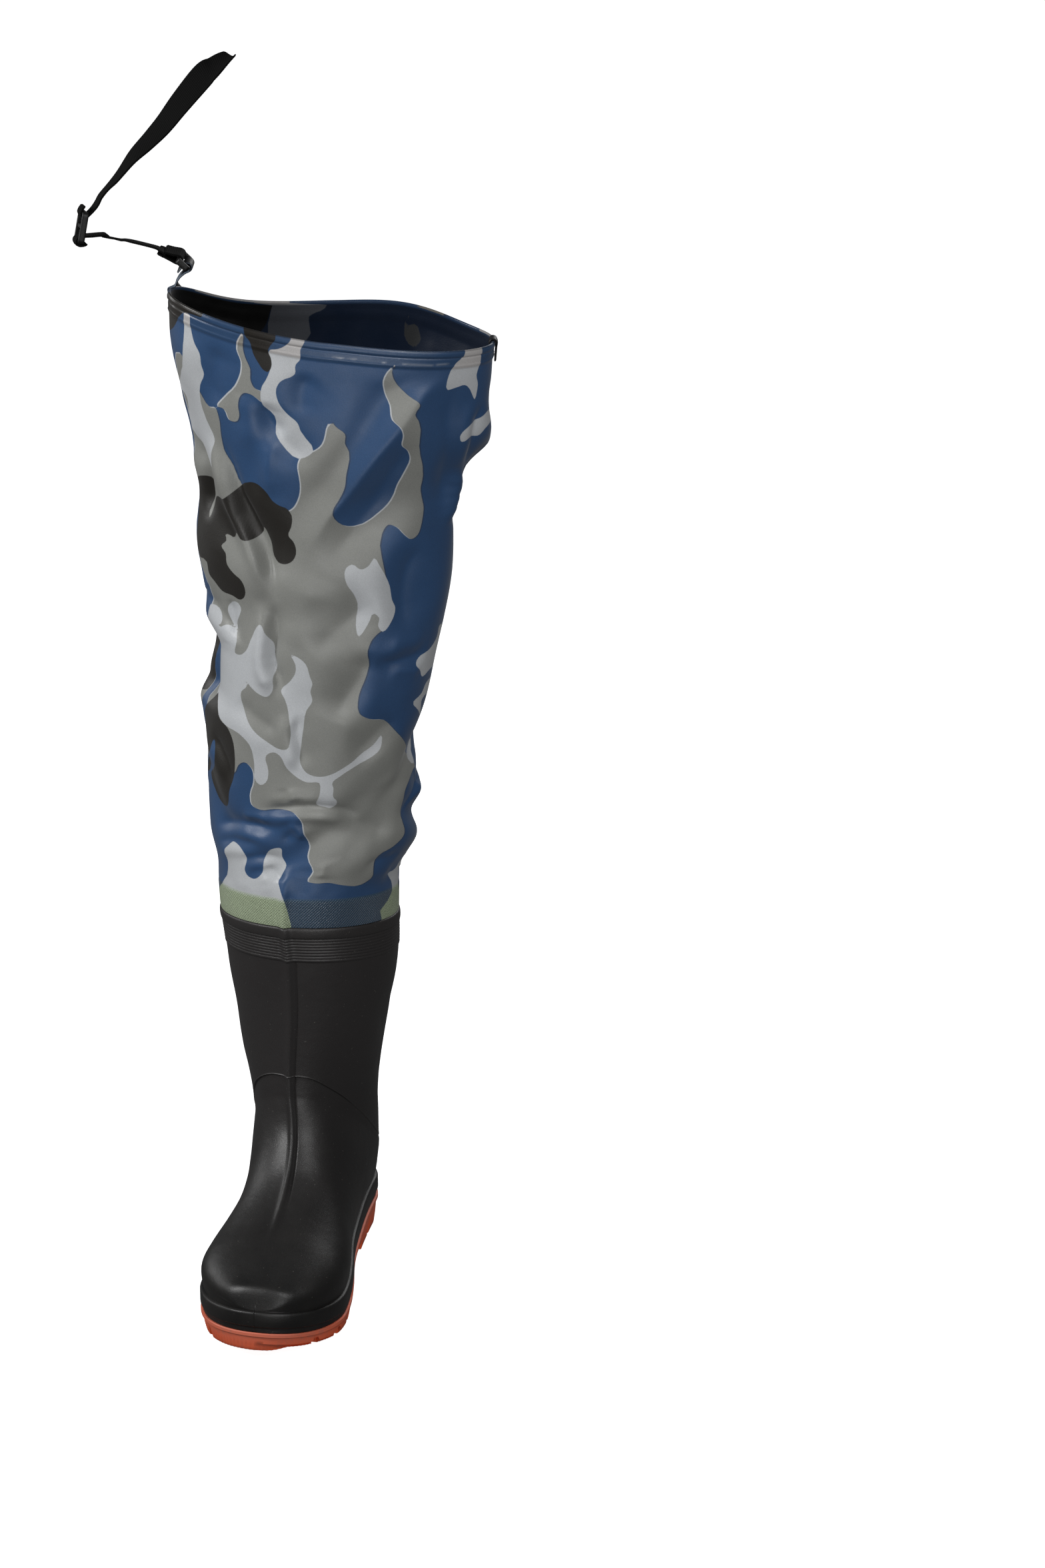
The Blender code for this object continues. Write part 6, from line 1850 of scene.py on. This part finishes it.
    def build(self, strip: TabStrip, black: Moulded, plastic: Moulded, tape: WovenTape) -> None:
        """Build every piece of the strap."""
        self.corner(black)
        self.tab(strip)
        self.buckle("strap_ring", STRAP_RING, plastic)
        self.buckle("slider", SLIDER, plastic)
        ring = self.wrap(self.bar_middle(STRAP_RING, 1), self.thick, self.ring_wrap, 1.0)
        turn = self.wrap(self.bar_middle(SLIDER, 0), self.thick, self.slider_wrap, -1.0)
        parts = [self.metres(RING_TAIL), ring, self.metres(LOWER_RUN), turn, self.metres(SLIDER_TAIL)]
        twists = [np.zeros(len(part)) for part in parts]
        twists[2] = self.lower_roll * np.sin(np.linspace(0, math.pi, len(LOWER_RUN)))
        self.web("strap_lower", np.concatenate(parts), np.concatenate(twists), 0.0, tape)
        high = self.wrap(self.bar_middle(SLIDER, 2), self.thick, self.upper_wrap, -1.0)
        start = np.concatenate([self.metres(UPPER_TAIL), high])
        run = self.metres(UPPER_RUN)
        twist = np.concatenate([np.zeros(len(start)), np.radians(self.upper_twists)])
        self.web("strap_upper", np.concatenate([start, run]), twist, 0.010, tape)


# Studio

@dataclass
class Studio:
    """Pale floor, soft lamps and the camera at the photo's viewing angle."""
    eye: tuple = (0.8366, -2.8858, 1.55)
    turn: float = math.radians(13.0)
    pitch: float = math.radians(20.84)
    lens: float = 88.74
    floor_half: float = 12.0

    def floor(self, finish: StudioFloor) -> None:
        """Lay a flat grid under the boot."""
        side = np.linspace(-self.floor_half, self.floor_half, 9)
        x, y = np.meshgrid(side, side)
        shell = Shell()
        shell.add(np.stack([x, y, np.zeros_like(x)], axis=-1))
        ground = shell.build("studio_floor", finish.make("floor_white"))
        ground.visible_diffuse = False
        ground.visible_glossy = False

    def lamp(self, name: str, place: tuple, aim: tuple, size: float, power: float) -> None:
        """Hang a square soft lamp that faces a point."""
        data = bpy.data.lights.new(name, "AREA")
        data.shape, data.size, data.energy = "SQUARE", size, power
        thing = bpy.data.objects.new(name, data)
        bpy.context.scene.collection.objects.link(thing)
        way = np.array(aim) - np.array(place)
        flat = math.hypot(way[0], way[1])
        thing.location = place
        thing.rotation_euler = (math.atan2(flat, -way[2]), 0.0, math.atan2(-way[0], way[1]))

    def lights(self) -> None:
        """Hang the lamps and set an even dim surround, white where the camera looks past the floor."""
        self.lamp("key_left", (-2.0, -1.7, 2.3), (0.0, 0.0, 0.45), 0.7, 66.0)
        self.lamp("right_high", (1.4, -2.0, 2.4), (0.0, 0.0, 0.4), 0.9, 34.0)
        self.lamp("low_front", (0.9, -2.6, 0.35), (0.0, 0.0, 0.15), 1.0, 15.0)
        self.lamp("side_left", (-2.8, 0.7, 1.3), (0.0, 0.0, 0.4), 1.0, 16.0)
        self.lamp("back", (0.6, 2.6, 1.7), (0.0, 0.0, 0.5), 1.4, 18.0)
        world = bpy.data.worlds.new("studio")
        bpy.context.scene.world = world
        world.use_nodes = True
        nodes, links = world.node_tree.nodes, world.node_tree.links
        back = nodes["Background"]
        back.inputs["Color"].default_value = (1.0, 1.0, 1.0, 1.0)
        path = nodes.new("ShaderNodeLightPath")
        strength = nodes.new("ShaderNodeMapRange")
        strength.inputs["To Min"].default_value = 0.08
        strength.inputs["To Max"].default_value = 1.0
        links.new(path.outputs["Is Camera Ray"], strength.inputs["Value"])
        links.new(strength.outputs[0], back.inputs["Strength"])

    def camera(self) -> None:
        """Stand the camera at the photo's viewing angle."""
        data = bpy.data.cameras.new("photo_view")
        data.sensor_fit, data.sensor_height, data.lens = "VERTICAL", 36.0, self.lens
        data.clip_end = 60.0
        thing = bpy.data.objects.new("photo_view", data)
        bpy.context.scene.collection.objects.link(thing)
        thing.location = self.eye
        thing.rotation_euler = (math.pi / 2 - self.pitch, 0.0, self.turn)
        bpy.context.scene.camera = thing
        bpy.context.scene.view_settings.view_transform = "Standard"


def report(pieces: list) -> None:
    """Log each piece's name and face count."""
    for piece in pieces:
        LOG.info("%s: %d faces", piece.name, len(piece.data.polygons))


def main() -> None:
    """Build the wader, dress it and light it."""
    logging.basicConfig(level=logging.INFO, format="%(message)s")
    last = Last()
    boot = Boot(last)
    boot.build(BootRubber())
    report(boot.pieces)
    sole = Sole(last)
    sole.build(SoleRubber())
    report(sole.pieces)
    insole = Insole(last)
    insole.build(Footbed())
    report(insole.pieces)
    leg = Leg(boot)
    leg.build(PrintedCloth())
    report(leg.pieces)
    strap = Strap(leg)
    strap.build(TabStrip(), Moulded(tone(22, 22, 24), tone(40, 40, 42), 0.45),
                Moulded(tone(12, 12, 12), tone(30, 30, 29), 0.45), WovenTape())
    report(strap.pieces)
    studio = Studio()
    studio.floor(StudioFloor())
    studio.lights()
    studio.camera()


if __name__ == "__main__":
    main()
